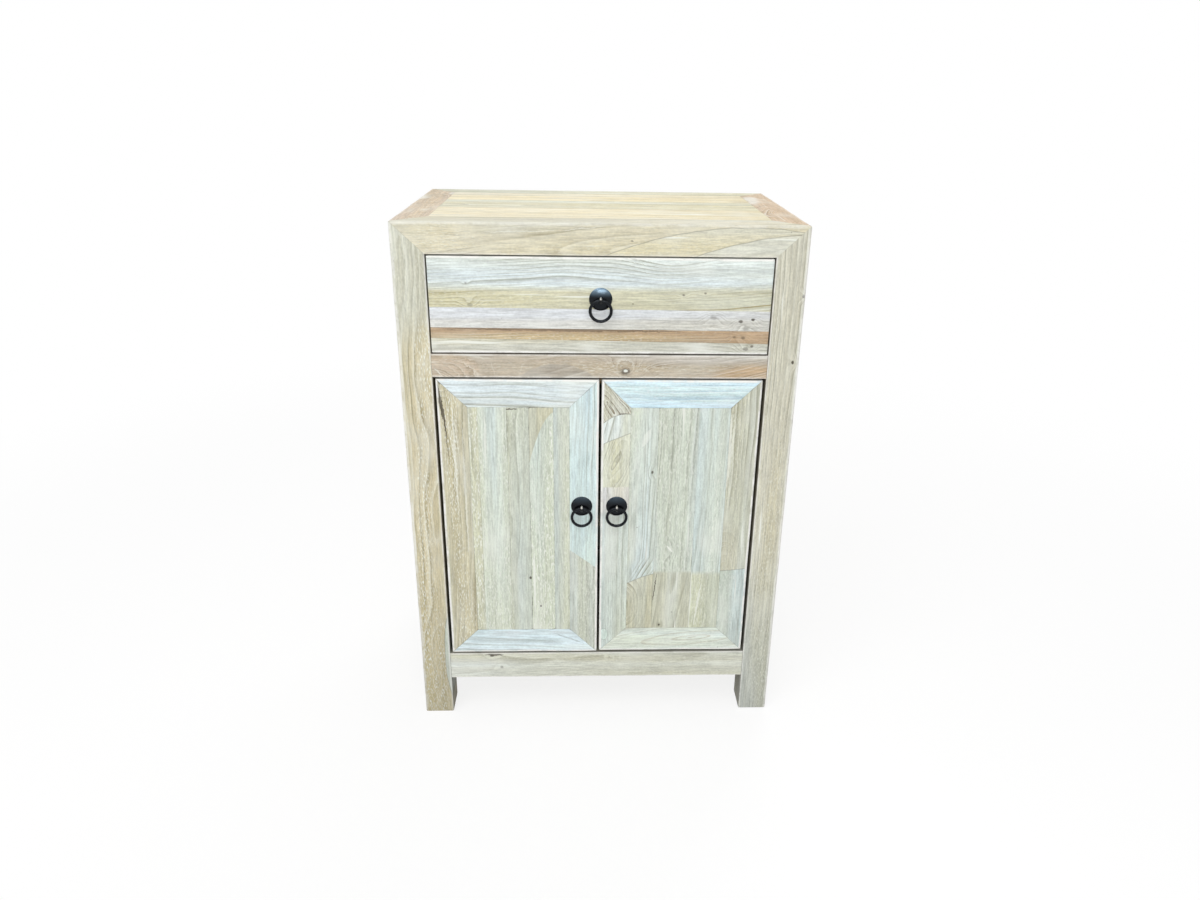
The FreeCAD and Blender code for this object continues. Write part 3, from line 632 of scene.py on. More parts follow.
def knot_group(name):
    """A small knot: a core where the scaled distance from the centre is under 1, and rings that swell."""
    g, given, result = new_group(name, {
        "Vector": "Vector", "Centre": "Vector", "Scale": "Vector", "Size": 0.004},
        {"Core": "Float", "Swell": "Float"})
    rough = g.noise(given["Vector"] * 260.0, 2.0, output=1) - NOISE_MIDDLE
    distance = g.length((given["Vector"] - given["Centre"]) * given["Scale"] + rough * 0.7)
    g.fill(result, {"Core": g.step(distance, 0.5, 1.1, 1.0, 0.0),
                    "Swell": g.step(distance, 0.0, 5.0, 2.4, 0.0) * given["Size"]})
    return g.tree


def crack_group(name):
    """An open crack: the roughened distance from a straight stretch over a width that tapers to both ends."""
    g, given, result = new_group(name, {
        "Vector": "Vector", "Start": "Vector", "Run": "Vector", "Width": 0.0008}, {"Mask": "Float"})
    run = given["Run"]
    rough = g.noise(given["Vector"] * 130.0, 4.0, 0.65, 1) - NOISE_MIDDLE
    apart = given["Vector"] + rough * 0.006 - given["Start"]
    share = g.maths("DIVIDE", g.vector("DOT_PRODUCT", apart, run, output=1),
                    g.vector("DOT_PRODUCT", run, run, output=1), use_clamp=True)
    off_line = g.length((apart - run * share) * (1, 0, 1))
    width = share * (1.0 - share) * 4.0 * given["Width"] + 0.00001
    g.fill(result, {"Mask": g.step(off_line / width, 0.5, 1.1, 1.0, 0.0)})
    return g.tree


def above_group(name):
    """The part of a front face above a curve z = slope * dx + bend * dx * dx from an origin, and its line."""
    g, given, result = new_group(name, {
        "Vector": "Vector", "Origin": "Vector", "Slope": 0.0, "Bend": 0.0, "Softness": 0.0003},
        {"Mask": "Float", "Line": "Float"})
    apart = given["Vector"] - given["Origin"]
    dx, dz = g.part(apart, X), g.part(apart, Z)
    wobble = g.noise(given["Vector"] * 45.0, 2.0) - 0.5
    over = wobble * 0.0025 + (dz - dx * (dx * given["Bend"] + given["Slope"]))
    g.fill(result, {"Mask": g.step(over, given["Softness"] * -1.0, given["Softness"]),
                    "Line": g.step(g.maths("ABSOLUTE", over), 0.0002, 0.0011, 1.0, 0.0)})
    return g.tree


def oval_group(name):
    """The inside of an oval on a front face, and the line round it."""
    g, given, result = new_group(name, {
        "Vector": "Vector", "Centre": "Vector", "Half size": "Vector", "Softness": 0.01},
        {"Mask": "Float", "Line": "Float"})
    apart = (given["Vector"] - given["Centre"]) / given["Half size"]
    wobble = g.noise(given["Vector"] * 45.0, 1.0, output=1) * 0.12
    distance = g.length((apart + wobble) * (1, 0, 1))
    softness = given["Softness"]
    g.fill(result, {"Mask": g.step(distance, 1.0 - softness, softness + 1.0, 1.0, 0.0),
                    "Line": g.step(g.maths("ABSOLUTE", distance - 1.0), 0.01, 0.06, 1.0, 0.0)})
    return g.tree


def wear_group(name):
    """Rubbed outer edges, whitened partly as a painted highlight, dust in the joints, painted shade in the
    gaps and towards the floor, and a few specks, from the marks of the mesh.
    """
    g, given, result = new_group(name, {
        "Vector": "Vector", "Color": "Color", "Worn": "Color", "Dirt": "Color", "Wear": 0.6, "Seams": 0.4,
        "Gaps": 0.6, "Foot shade": 1.0}, {"Color": "Color", "Roughness": "Float", "Depth": "Float"})
    place, dirt = given["Vector"], given["Dirt"]
    patchy = g.noise(place * 48.0, 3.0, 0.6)
    arris, joint, gap = (
        g.add("Attribute", output=2, attribute_name=mark) for mark in ("arris", "joint", "gap"))
    # rubbed outer edges, whitened partly as a painted highlight along them
    rubbed = g.step(arris, 0.05, 0.85) * g.step(patchy, 0.36, 0.54, 0.45, 1.0) * given["Wear"]
    dusty = g.step(joint, 0.80, 1.0) * g.step(patchy, 0.45, 0.66, 0.25, 1.0) * given["Seams"]
    # painted shade on the faces in the gaps, mixed towards the dirt colour
    painted_gap_shade = g.step(gap, 0.55, 1.0) * given["Gaps"]
    cell = g.add("TexVoronoi", {"Vector": place, "Scale": 48.0}, "Color")
    near = Value(g, cell.socket.node.outputs["Distance"])
    speck = g.step(near, 0.03, 0.07, 1.0, 0.0) * g.step(g.part(cell, X), 0.90, 0.93)
    shade = g.step(g.part(place, Z), 0.0, 0.32, given["Foot shade"], 1.0)
    colour = g.mix(rubbed, g.mix(speck * 0.45, given["Color"], dirt), given["Worn"])
    colour = g.mix(1.0, colour, g.grey(shade), "MULTIPLY")
    g.fill(result, {"Color": g.mix(g.most(dusty, painted_gap_shade), colour, dirt), "Depth": dusty + speck * 0.6,
                    "Roughness": g.step(patchy, 0.3, 0.7, 0.56, 0.70)})
    return g.tree


GROUP_MAKERS = {"old_elm": elm_group, "knot": knot_group, "crack": crack_group, "above_curve": above_group,
                "oval": oval_group, "edge_wear": wear_group}

# ---------------------------------------------------------------- elm
# Each look: ring width in mm, then the strengths of lines, streaks, pores and wash.
LOOKS = {
    "straw": (4.5, 0.75, 0.85, 0.55, 0.30),
    "linen": (6.0, 0.85, 0.70, 0.40, 0.20),
    "greige": (5.0, 0.75, 0.80, 0.45, 0.25),
    "ash": (5.0, 0.80, 0.85, 0.40, 0.30),
    "sage": (4.5, 0.65, 0.85, 0.50, 0.25),
    "mist": (4.5, 0.65, 0.85, 0.50, 0.35),
    "mint": (5.5, 0.85, 0.80, 0.35, 0.30),
    "sky": (6.0, 0.80, 0.75, 0.35, 0.30),
    "cream": (6.0, 0.90, 0.75, 0.35, 0.20),
    "lilac": (5.0, 0.80, 0.80, 0.40, 0.25),
    "honey": (5.0, 0.80, 0.80, 0.35, 0.15),
    "tan": (4.5, 0.85, 0.80, 0.20, 0.10),
    "taupe": (7.0, 0.80, 0.80, 0.40, 0.20),
    "peach": (6.5, 0.85, 0.75, 0.40, 0.25),
    "ivory": (5.0, 0.70, 0.90, 0.35, 0.25),
    "inside": (5.0, 0.80, 0.70, 0.25, 0.05),
}
WARM_TINT = (1.0, 0.99, 0.95)
COOL_TINT = (0.99, 1.005, 1.04)
LINE_TINT = (0.74, 0.725, 0.68)
WHITEST = 0.96
SEED_STEP = np.array((1.37, 0.73, 0.31))
PITH_NEAREST = 0.012                     # least distance of a pith that isn't given from the board's middle
PITH_SPREAD = 0.03
PITH_SLOPE = 0.05
KNOT_STRETCH = 1.4                       # length over width of a knot
HUMP_SHARE = 0.25                        # swelling of a hump without a core, as a share of a knot's
GLUE_LINE = 0.38                         # darkness of the line round a patch that is let in
DARK_STREAK = (0.87, 0.86, 0.83, 1)      # in linear light, as PALE_STREAK is
PALE_STREAK = (1.10, 1.11, 1.13, 1)
GRAIN_TURN = {X: (0, 0, 0), Y: (-math.pi / 2, -math.pi / 2, 0), Z: (math.pi / 2, 0, math.pi / 2)}


def tinted(colour, tint):
    """A display colour multiplied by a tint and kept under white."""
    return tuple(np.minimum(np.array(colour[:3]) * tint, WHITEST))


def in_grain(vector, along):
    """A vector in grain coordinates: along the board, then across it in cyclic order."""
    return (vector[along], vector[(along + 1) % 3], vector[(along + 2) % 3])


def wood(look, seed, **more):
    """What a board or a patch looks like, as elm() and figure() take it."""
    return dict(look=look, seed=seed, **more)


def figure(g, grain, along, centre, swell, look, seed, pith=None, slope=None, rings=None, lines=None,
           wander=12, line_tint=LINE_TINT, streaks=None, pores=None, wash=None, tone=(1, 1, 1)):
    """One look of elm in a material.

    The pith is a point in object axes, in mm, that the pith line runs through, and the slope is how far the
    line moves along each axis per unit of length; both come from the seed if they aren't given. Rings and
    wander are in mm, and a negative ring width turns the dark side of the rings inwards.
    """
    colours = bpy.context.scene.cabinet_colours
    width, lines, streaks, pores, wash = (
        usual if asked is None else asked
        for asked, usual in zip((rings, lines, streaks, pores, wash), LOOKS[look]))
    base = tinted(getattr(colours, look), tone)
    chance = np.random.default_rng(seed).uniform(-1, 1, 6)
    if pith is None:
        offset = np.sign(chance[:3]) * (PITH_NEAREST + PITH_SPREAD * np.abs(chance[:3]))
        offset[along] = 0
    else:
        offset = np.array(pith) * MM - centre
    slope = np.array(PITH_SLOPE * chance[3:] if slope is None else slope, float)
    start = offset - slope * offset[along]
    return g.group("old_elm", {
        "Vector": grain, "Seed": tuple(seed * SEED_STEP), "Base": linear(base),
        "Warm": linear(tinted(base, WARM_TINT)), "Cool": linear(tinted(base, COOL_TINT)),
        "Line": linear(tinted(base, line_tint)), "Lime": linear(np.maximum(colours.lime, base)),
        "Pith": in_grain(start, along), "Slope": in_grain(slope, along), "Ring width": width * MM,
        "Wander": wander * MM, "Lines": lines, "Streaks": streaks, "Pores": pores, "Wash": wash,
        "Swell": swell})


def new_material(name):
    """A material, a graph to add to it, its Principled shader and the place in object axes."""
    material = bpy.data.materials.new(name)
    material.use_nodes = True
    g = Graph(material.node_tree)
    return material, g, material.node_tree.nodes["Principled BSDF"], g.add("TexCoord", output=3)


def add_knots(g, place, along, knots):
    """Knots of a front face as (x, z, radius, darkness) in mm: their shared swelling and their cores.

    A darkness of 0 gives a soft hump in the rings without a core.
    """
    swell, cores = 0.0, []
    for x, z, radius, darkness in knots:
        scale = [1 / (radius * MM)] * 3
        scale[along] /= KNOT_STRETCH
        scale[Y] = 0
        size = radius * (1 if darkness else HUMP_SHARE) * MM
        knot = g.group("knot", {"Vector": place, "Centre": (x * MM, 0, z * MM), "Scale": scale, "Size": size})
        swell = knot["Swell"] + swell
        cores.append((knot["Core"], darkness))
    return swell, cores


def region(g, place, kind, x, z, first, second, softness=0.0):
    """Mask and outline of a region of a front face, in mm, from a point on it.

    It is the part above or below a curve with a slope and a bend, or the inside of an oval with two half
    sizes.
    """
    anchor = (x * MM, 0, z * MM)
    if kind == "oval":
        return g.group("oval", {"Vector": place, "Centre": anchor, "Softness": softness or 0.02,
                                "Half size": (first * MM, 1, second * MM)})
    side = -1.0 if kind == "below" else 1.0
    return g.group("above_curve", {"Vector": place, "Origin": anchor, "Slope": first, "Bend": second,
                                   "Softness": (softness or 0.3) * MM * side})


def elm(name, along, centre, patches=(), knots=(), cracks=(), wear=0.6, seams=0.4, gaps=0.6,
        foot_shade=1.0, **look):
    """Material of one board.

    Patches are what region() takes and then a look for figure(), and are laid one over another. A patch
    without a softness is let in and shows a glue line. Knots are (x, z, radius, darkness), where a negative
    darkness is a white core, and cracks are (x, z, x, z, width, darkness), where a negative darkness is a
    white streak, all on the front face in mm.
    """
    colours = bpy.context.scene.cabinet_colours
    dirt, lime = linear(colours.dirt), linear(colours.lime)
    material, g, shader, place = new_material(name)
    grain = g.add("Mapping", {"Vector": place, "Rotation": GRAIN_TURN[along],
                              "Location": tuple(-c for c in in_grain(centre, along))})
    swell, cores = add_knots(g, place, along, knots)
    wood = figure(g, grain, along, centre, swell, **look)
    colour, hollow = wood["Color"], 0.0
    for *shape, patch_look in patches:
        mask = region(g, place, *shape)
        over = figure(g, grain, along, centre, swell, **patch_look)
        colour = g.mix(mask["Mask"], colour, over["Color"])
        if len(shape) == 5:
            colour = g.mix(mask["Line"] * GLUE_LINE, colour, dirt)
    for core, darkness in cores:
        colour = g.mix(core * abs(darkness), colour, lime if darkness < 0 else dirt)
    for x0, z0, x1, z1, width, darkness in cracks:
        crack = g.group("crack", {"Vector": place, "Start": (x0 * MM, 0, z0 * MM),
                                  "Run": ((x1 - x0) * MM, 0, (z1 - z0) * MM), "Width": width * MM})
        mask = crack["Mask"] * abs(darkness)
        colour = g.mix(mask, colour, lime if darkness < 0 else dirt)
        if darkness > 0:
            hollow = g.most(mask, hollow)
    # this group paints shade on the gap faces and towards the floor, and whitens rubbed edges partly as a
    # painted highlight
    worn = g.group("edge_wear", {"Vector": place, "Color": colour, "Worn": linear(colours.worn), "Dirt": dirt,
                                 "Wear": wear, "Seams": seams, "Gaps": gaps, "Foot shade": foot_shade})
    height = wood["Height"] - (worn["Depth"] + hollow * 2.0)
    g.fill(shader, {"Base Color": worn["Color"], "Roughness": worn["Roughness"], "Specular IOR Level": 0.35,
                    "Normal": g.bump(height, 0.5, 0.0006)})
    return material


# ---------------------------------------------------------------- metals
RUST_TINT = (1.5, 1.3, 1.15)
DULL_TINT = (0.8, 0.8, 0.8)
# painted sheen on the upper part of each plate, as a share of the bright metal colour
PLATE_SHEEN = {"drawer": 0.42, "door_left": 0.07, "door_right": 0.08}
ZINC_NODES = ("carcass_screws", "door_left_pivot_pins", "door_right_pivot_pins", "door_left_strike",
              "door_right_strike")


def blackened_iron(name, height=0.0, polish=0.0):
    """Blackened iron with a satin wax finish, mottled; a painted sheen brightens a plate from a height
    upwards.
    """
    colours = bpy.context.scene.cabinet_colours
    material, g, shader, place = new_material(name)
    mottle = g.noise(place * 420.0, 3.0, 0.6)
    fine = g.noise(place * 2600.0, 1.0)
    shade = g.mix(g.step(mottle, 0.42, 0.7), linear(colours.iron), linear(tinted(colours.iron, RUST_TINT)))
    if polish:
        # painted highlight: the upper part of the plate turns to the bright bluish metal
        bright = g.step(g.part(place, Z), height + 2 * MM, height + 19 * MM, 0.0, polish)
        shade = g.mix(bright, shade, linear(colours.polished))
        g.fill(shader, {"Metallic": bright})
    g.fill(shader, {"Base Color": shade, "Roughness": g.step(mottle, 0.3, 0.7, 0.16, 0.25),
                    "Specular IOR Level": 0.24, "Specular Tint": (0.8, 0.9, 1.0, 1.0),
                    "Normal": g.bump(mottle * 0.7 + fine * 0.3, 0.3, 0.0002)})
    return material


def rubbed_iron(name, height):
    """Blackened iron of an eyelet, with patchy bright bare metal above a given height as a painted glint on
    the eye's top.
    """
    colours = bpy.context.scene.cabinet_colours
    material, g, shader, place = new_material(name)
    mottle = g.noise(place * 900.0, 2.0)
    # painted glint: bright bare metal on the top of the eye
    painted_glint = (g.step(g.part(place, Z), height + 1.0 * MM, height + 4.0 * MM)
            * g.step(mottle, 0.30, 0.60, 0.35, 1.0))
    g.fill(shader, {"Base Color": g.mix(painted_glint, linear(colours.iron), linear(colours.nickel)), "Metallic": painted_glint,
                    "Roughness": g.step(mottle, 0.3, 0.7, 0.22, 0.34), "Specular IOR Level": 0.28,
                    "Normal": g.bump(mottle, 0.3, 0.0001)})
    return material


def plated_metal(name, colour, roughness):
    """Plated metal with fine turning marks and a few dull spots."""
    material, g, shader, place = new_material(name)
    dull = g.noise(place * 300.0, 3.0)
    marks = g.noise(place * (400, 4000, 4000), 2.0)
    dulled = linear(tinted(colour, DULL_TINT))
    g.fill(shader, {"Base Color": g.mix(g.step(dull, 0.4, 0.7), linear(colour), dulled), "Metallic": 1.0,
                    "Roughness": g.step(dull, 0.3, 0.7, roughness, roughness + 0.15),
                    "Normal": g.bump(marks, 0.2, 0.0001)})
    return material


# ---------------------------------------------------------------- timber pieces
FRAME_SEAMS = 0.15               # dust in the joints of the posts and the top frame
FOOT_SHADE = 0.76                # light left on a post at the floor
FRONT_GAP_SHADE = 0.38                # painted shade in the gaps round the drawer and the doors
OVER_DOOR_GAP_SHADE = 0.65             # painted shade in the gap over the doors


def middle(low, high):
    """Middle of a box."""
    return (np.array(low) + np.array(high)) / 2


def timber(node, forms, materials):
    """A wooden piece that stands for a CAD node."""
    return settle(mesh_object(node + "_timber", forms, materials), node)


def plank(node, form, along, low, high, **look):
    """A piece made of one board, whose figure is laid out from the middle of a box."""
    timber(node, [form], [elm(node + "_elm", along, middle(low, high), **look)])


def corner_share(points, own):
    """How far a point of the top frame lies in from the outer faces, as a share of the corner.

    It is taken for the two axes that the member doesn't run along; the larger share gives the mitre.
    """
    shares = {X: (SIDE - np.abs(points[..., X])) / POST,
              Y: np.minimum(points[..., Y] - FRONT, BACK - points[..., Y]) / POST,
              Z: (HEIGHT - points[..., Z]) / TOP_RAIL}
    return np.maximum(*[shares[axis] for axis in (X, Y, Z) if axis != own])


def carcass_eased(form):
    """Rounds a member at the cabinet's outer corners."""
    radius = bpy.context.scene.cabinet_edges.worn * OUTER_SHARE
    return eased(form, (-SIDE, FRONT, -1), (SIDE, BACK, HEIGHT), radius)


RIGHT_POST_FIGURE = wood("greige", 12, slope=(0.008, 0, 0), pith=(330, -150, 500), rings=-5.5, wander=9,
    lines=1.0)
POST_LOOKS = {
    "post_front_left": wood("straw", 11, slope=(0.03, 0, 0), pith=(-255, -120, 500), pores=1.0, wash=0.4,
        tone=(0.995, 0.98, 0.955),
        patches=[
            ("oval", -248, 122, 12, 84, wood("sage", 31, lines=0.4)),
            ("above", -276, 690, 0.5, 0, 40, wood("greige", 32, slope=(0.05, 0, 0)))],
        cracks=[(-296, 806, -298, 770, 0.6, 0.4)]),
    "post_front_right": dict(tone=(0.985, 0.972, 0.962), foot_shade=0.92,
        knots=[(297, 748, 2.4, 0.9), (290, 646.5, 2.5, 0.95)],
        patches=[("below", 276, 240, 0, 0, 120, dict(tone=(0.935, 0.95, 0.985), **RIGHT_POST_FIGURE))],
        **RIGHT_POST_FIGURE),
    "post_back_left": wood("straw", 13),
    "post_back_right": wood("greige", 14),
}


def make_posts():
    sizes = bpy.context.scene.cabinet_edges
    for sy, row in ((-1, "front"), (1, "back")):
        for sx, side in ((-1, "left"), (1, "right")):
            node = "post_" + row + "_" + side
            low, high = span(node)
            out_x, in_x = ("-x", "+x") if sx < 0 else ("+x", "-x")
            out_y, in_y = ("-y", "+y") if sy < 0 else ("+y", "-y")
            edges = {out_x + out_y: sizes.worn, in_x + out_y: sizes.eased, out_x + in_y: sizes.eased}
            form = board(low, high, Z, edges, sizes.eased, seams=(0, 1), seed=5 + sx + 2 * sy,
                         dark=(in_x,) if sy < 0 else (), end=lambda p: HEIGHT - TOP_RAIL * corner_share(p, Z))
            form = eased(carcass_eased(form), low, (high[X], high[Y], high[Z] + 1), sizes.foot)
            look = {"foot_shade": FOOT_SHADE, "seams": FRAME_SEAMS, **POST_LOOKS[node]}
            plank(node, form, Z, low, high, **look)


# the front rail's figure is a flame that opens to the right
TOP_RAIL_LOOKS = {
    "top_rail_front": wood("linen", 21, pith=(352, -183, 812), slope=(0, 0.08, 0.008), rings=-10.4, lines=1.0,
        wander=6, pores=0.3, streaks=0.4, tone=(0.985, 0.98, 0.955), line_tint=(0.70, 0.68, 0.62),
        patches=[
            ("below", 28, 813, 0.36, -0.98,
                wood("linen", 25, tone=(1.0, 1.0, 0.975), rings=-6, pith=(420, -183, 812),
                    slope=(0, 0.08, 0.01), wander=6, lines=1.0, streaks=0.4, pores=0.3)),
            ("below", 158, 812, 0.32, -1.0,
                wood("linen", 26, tone=(1.0, 1.01, 1.01), rings=-6, pith=(420, -183, 812),
                    slope=(0, 0.08, 0.01), wander=6, streaks=0.4, pores=0.3)),
            ("oval", -225, 826, 66, 26, 0.6, wood("linen", 27, rings=6, slope=(0, 0.05, 0.1)))],
        cracks=[(-172, 836, -58, 839, 0.9, -0.45), (-62, 838.5, 10, 847, 0.9, -0.45),
            (40, 826, 46, 825.5, 1.2, 0.6)]),
    "top_rail_back": wood("cream", 22, rings=8),
    "top_rail_left": wood("peach", 23, pith=(-290, 30, 846), slope=(0.3, 0, 0.5), rings=5, wander=40,
        lines=0.9, wash=0.7),
    "top_rail_right": wood("peach", 24, tone=(0.955, 0.905, 0.82), pith=(285, -60, 846), slope=(0.3, 0, 0.5),
        rings=5, wander=40, lines=0.9, wash=0.6),
}


def make_top_frame():
    sizes = bpy.context.scene.cabinet_edges
    for node, look in TOP_RAIL_LOOKS.items():
        low, high = span(node)
        side = node.rsplit("_", 1)[1]
        along = X if side in ("front", "back") else Y
        outer = {"front": "-y", "back": "+y", "left": "-x", "right": "+x"}[side]
        edges = {outer + "+z": sizes.worn, outer + "-z": sizes.eased}
        form = board(low, high, along, edges, seed=look["seed"], dark=("-z",) if side == "front" else (),
                     start=lambda p, a=along, l=low: l[a] + POST * corner_share(p, a),
                     end=lambda p, a=along, h=high: h[a] - POST * corner_share(p, a))
        plank(node, carcass_eased(form), along, low, high, wear=0.35, seams=FRAME_SEAMS, **look)


TOP_BOARD_LOOKS = {
    "top_board_front": wood("ivory", 41, rings=5, slope=(0, 0.02, 0.01)),
    "top_board_middle": wood("cream", 42, rings=4, slope=(0, 0.01, 0.01)),
    "top_board_back": wood("ivory", 43, rings=7, slope=(0, 0.03, 0.04)),
}


def make_top_boards():
    for node, look in TOP_BOARD_LOOKS.items():
        low, high = span(node)
        low[X], high[X] = low[X] + TONGUE, high[X] - TONGUE
        low[Y] += TONGUE if node.endswith("front") else 0
        high[Y] -= TONGUE if node.endswith("back") else 0
        # painted light: a paler, slightly cooler oval over the left end of the top
        painted_light_left = ("oval", -330, 850, 330, 60, 0.9, dict(look, tone=(1.08, 1.08, 1.11)))
        plank(node, board(low, high, X, seed=look["seed"]), X, low, high, patches=[painted_light_left],
              tone=(1.005, 0.99, 0.955), **look)


RAIL_LOOKS = {
    "middle_rail": wood("taupe", 51, rings=-5, pith=(0, -120, 540), slope=(0, 0, 0.06), wander=26, lines=1.0,
        line_tint=(0.72, 0.66, 0.60),
        patches=[
            ("oval", 160, 662, 150, 17, 0.4,
                wood("taupe", 60, tone=(1.05, 1.08, 1.13), rings=-5, slope=(0, 0.03, 0.06), wander=20)),
            ("oval", 236, 622, 60, 19, 0.35,
                wood("tan", 56, rings=-5, slope=(0, 0.03, 0.25), wander=14, tone=(1.02, 1.0, 0.97))),
            ("oval", -62, 606, 60, 38, 0.04,
                wood("taupe", 59, rings=-6, slope=(0, 0, 0.22), wander=14, tone=(0.92, 0.925, 0.935),
                    lines=1.0)),
            ("oval", -226, 632, 50, 28, 0.1,
                wood("taupe", 164, rings=4, slope=(0, 0.2, 0.05), pith=(-245, -172, 606), wander=16,
                    tone=(1.03, 1.01, 1.0)))],
        cracks=[(-248, 634, -236, 622, 1.2, -0.5), (-164, 646, -158, 622, 0.9, -0.2),
            (-118, 640, -122, 622, 0.9, -0.15)],
        knots=[(-188, 615, 9.0, 0.4), (37.6, 630.7, 8.0, 0.35), (37.6, 630.7, 5.2, 0.7),
            (37.6, 631.5, 2.9, -0.95)]),
    "bottom_rail_front": wood("ash", 52, tone=(1.035, 1.045, 1.07), rings=6, lines=0.9, slope=(0, 0.02, 0.03),
        wander=14, cracks=[(-193, 119, -160, 117.5, 2.4, 0.85)],
        knots=[(-181, 116.5, 3.0, 0.75), (-165, 93, 2.6, 0.45), (20, 112, 1.5, 0.4)]),
    "bottom_rail_back": wood("straw", 53),
    "bottom_rail_left": wood("greige", 54),
    "bottom_rail_right": wood("straw", 55),
}


def make_rails():
    sizes = bpy.context.scene.cabinet_edges
    for node, look in RAIL_LOOKS.items():
        low, high = span(node)
        along = Y if node in ("bottom_rail_left", "bottom_rail_right") else X
        low[along], high[along] = low[along] + TENON, high[along] - TENON
        dark = ("+z", "-z") if node == "middle_rail" else ("+z",)
        form = board(low, high, along, default_edge=sizes.eased, seed=look["seed"], dark=dark)
        plank(node, form, along, low, high, **look)


def boarded_panel(node, across_axis, joints, looks):
    """A panel of upright boards with joints at given places across it."""
    low, high = span(node)
    for axis in (across_axis, Z):
        low[axis] += TONGUE
        high[axis] -= TONGUE
    stops = [low[across_axis]] + list(joints) + [high[across_axis]]
    forms, materials = [], []
    for number, (first, last, look) in enumerate(zip(stops, stops[1:], looks), 1):
        a, b = low.copy(), high.copy()
        a[across_axis], b[across_axis] = first, last
        forms.append(board(a, b, Z, seed=look["seed"]))
        materials.append(elm(f"{node}_elm_{number}", Z, middle(a, b), **look))
    timber(node, forms, materials)


# board joints as shares of the panel's visible width, and the boards' looks
PANEL_LOOKS = {
    "side_panel_left": (Y, (0.31, 0.68), (("straw", 61), ("sage", 62), ("greige", 63))),
    "side_panel_right": (Y, (0.36, 0.70), (("sage", 64), ("straw", 65), ("greige", 66))),
    "back_panel": (X, (0.19, 0.42, 0.60, 0.83),
        (("straw", 71), ("greige", 72), ("sage", 73), ("straw", 74), ("greige", 75))),
}


def make_panels():
    for node, (axis, shares, looks) in PANEL_LOOKS.items():
        low, high = span(node)
        width = high[axis] - low[axis] - 2 * TONGUE
        joints = [low[axis] + TONGUE + share * width for share in shares]
        boarded_panel(node, axis, joints, [dict(look=look, seed=seed) for look, seed in looks])


INSIDE_GRAIN = {"top_batten": Y, "cupboard_floor": X, "shelf": X, "shelf_cleats": Y, "catch_block": X,
                "drawer_runner_left": Y, "drawer_runner_right": Y}


def make_inside():
    """Plain boards inside keep their CAD shape; each gets elm with its own figure."""
    for seed, (node, along) in enumerate(INSIDE_GRAIN.items(), 81):
        look = "straw" if node in ("shelf", "cupboard_floor") else "inside"
        dress(node, elm(node + "_elm", along, middle(*span(node)), look=look, seed=seed))


# ---------------------------------------------------------------- drawer
UPPER_STAVES = (1, 2)
# the two upper staves come from one board, so their figure runs on and only the lime fades downwards
UPPER_FIGURE = dict(seed=101, rings=5.0, pith=(0, -150, 640), slope=(0, 0.02, 0.03), wander=15, lines=0.95)
STAVE_LOOKS = (
    dict(look="cream", line_tint=(0.76, 0.71, 0.56), seams=0.0, wear=1.0,
        patches=[("above", 0, 757, 0.01, 0, 8, dict(look="mint", **UPPER_FIGURE))],
        knots=[(-196, 763, 1.6, 0.45), (107, 787, 14.0, 0.0)], **UPPER_FIGURE),
    dict(look="cream", line_tint=(0.76, 0.71, 0.56), seams=0.0,
        knots=[(-191, 731, 3.4, 0.4), (120, 748, 1.8, 0.6), (152, 751, 1.8, 0.6), (46, 734.5, 1.3, 0.5)],
        **UPPER_FIGURE),
    wood("lilac", 103, rings=4.5, pith=(0, -120, 780), slope=(0, 0, 0.02), wander=10,
        knots=[(166, 715, 4.0, 0.35), (207, 709, 3.0, 0.8), (225, 712, 2.6, 0.9), (215, 699, 4.2, 0.4)]),
    wood("tan", 104, rings=4.0, pith=(0, -120, 760), slope=(0, 0, 0.03), wander=10, pores=0.15,
        tone=(0.955, 0.935, 0.925), lines=1.0,
        patches=[
            ("oval", -70, 682.5, 200, 7, 0.6,
                wood("honey", 106, tone=(0.97, 0.89, 0.83), slope=(0, 0, 0.03), wander=10, rings=3.5,
                    lines=1.0))],
        # the dark crack along the top of this stave is a painted shadow, drawn with the crack mark
        cracks=[(-240, 695.4, 130, 693.0, 2.6, 0.5)], knots=[(199, 685, 2.2, 0.5), (212, 684, 2.6, 0.55)]),
    wood("ash", 105, rings=4.5, pith=(0, -120, 600), slope=(0, 0, -0.04), wander=12, wash=0.7,
        tone=(0.98, 0.965, 0.95), lines=1.0, wear=1.0, knots=[(217, 667, 3.4, 0.5), (226, 671, 2.2, 0.65)]),
)


def make_drawer_front():
    sizes = bpy.context.scene.cabinet_edges
    low = span("drawer_front_stave_5")[0]
    high = span("drawer_front_stave_1")[1]
    heights = [(high[Z],) * 2] + [(a * MM, b * MM) for a, b in STAVE_JOINTS] + [(low[Z],) * 2]
    for number, (top, foot, look) in enumerate(zip(heights, heights[1:], STAVE_LOOKS), 1):
        a, b = low.copy(), high.copy()
        a[Z], b[Z] = np.mean(foot), np.mean(top)
        outer = {1: "+z", len(STAVE_LOOKS): "-z"}.get(number)
        edges = {"-y" + outer: sizes.door, "+y" + outer: sizes.door} if outer else {}
        form = board(a, b, X, edges, seams=(0, 0), seed=look["seed"] + number, dark=(outer,) if outer else ())
        points = form["points"]
        share_x = (points[:, X] - a[X]) / (b[X] - a[X])
        share_z = (points[:, Z] - a[Z]) / (b[Z] - a[Z])
        lower = foot[0] + (foot[1] - foot[0]) * share_x
        upper = top[0] + (top[1] - top[0]) * share_x
        points[:, Z] = lower + (upper - lower) * share_z
        form = eased(form, low, high, sizes.door * OUTER_SHARE)
        box = (low, high) if number in UPPER_STAVES else (a, b)
        plank("drawer_front_stave_" + str(number), form, X, *box, gaps=FRONT_GAP_SHADE, **look)


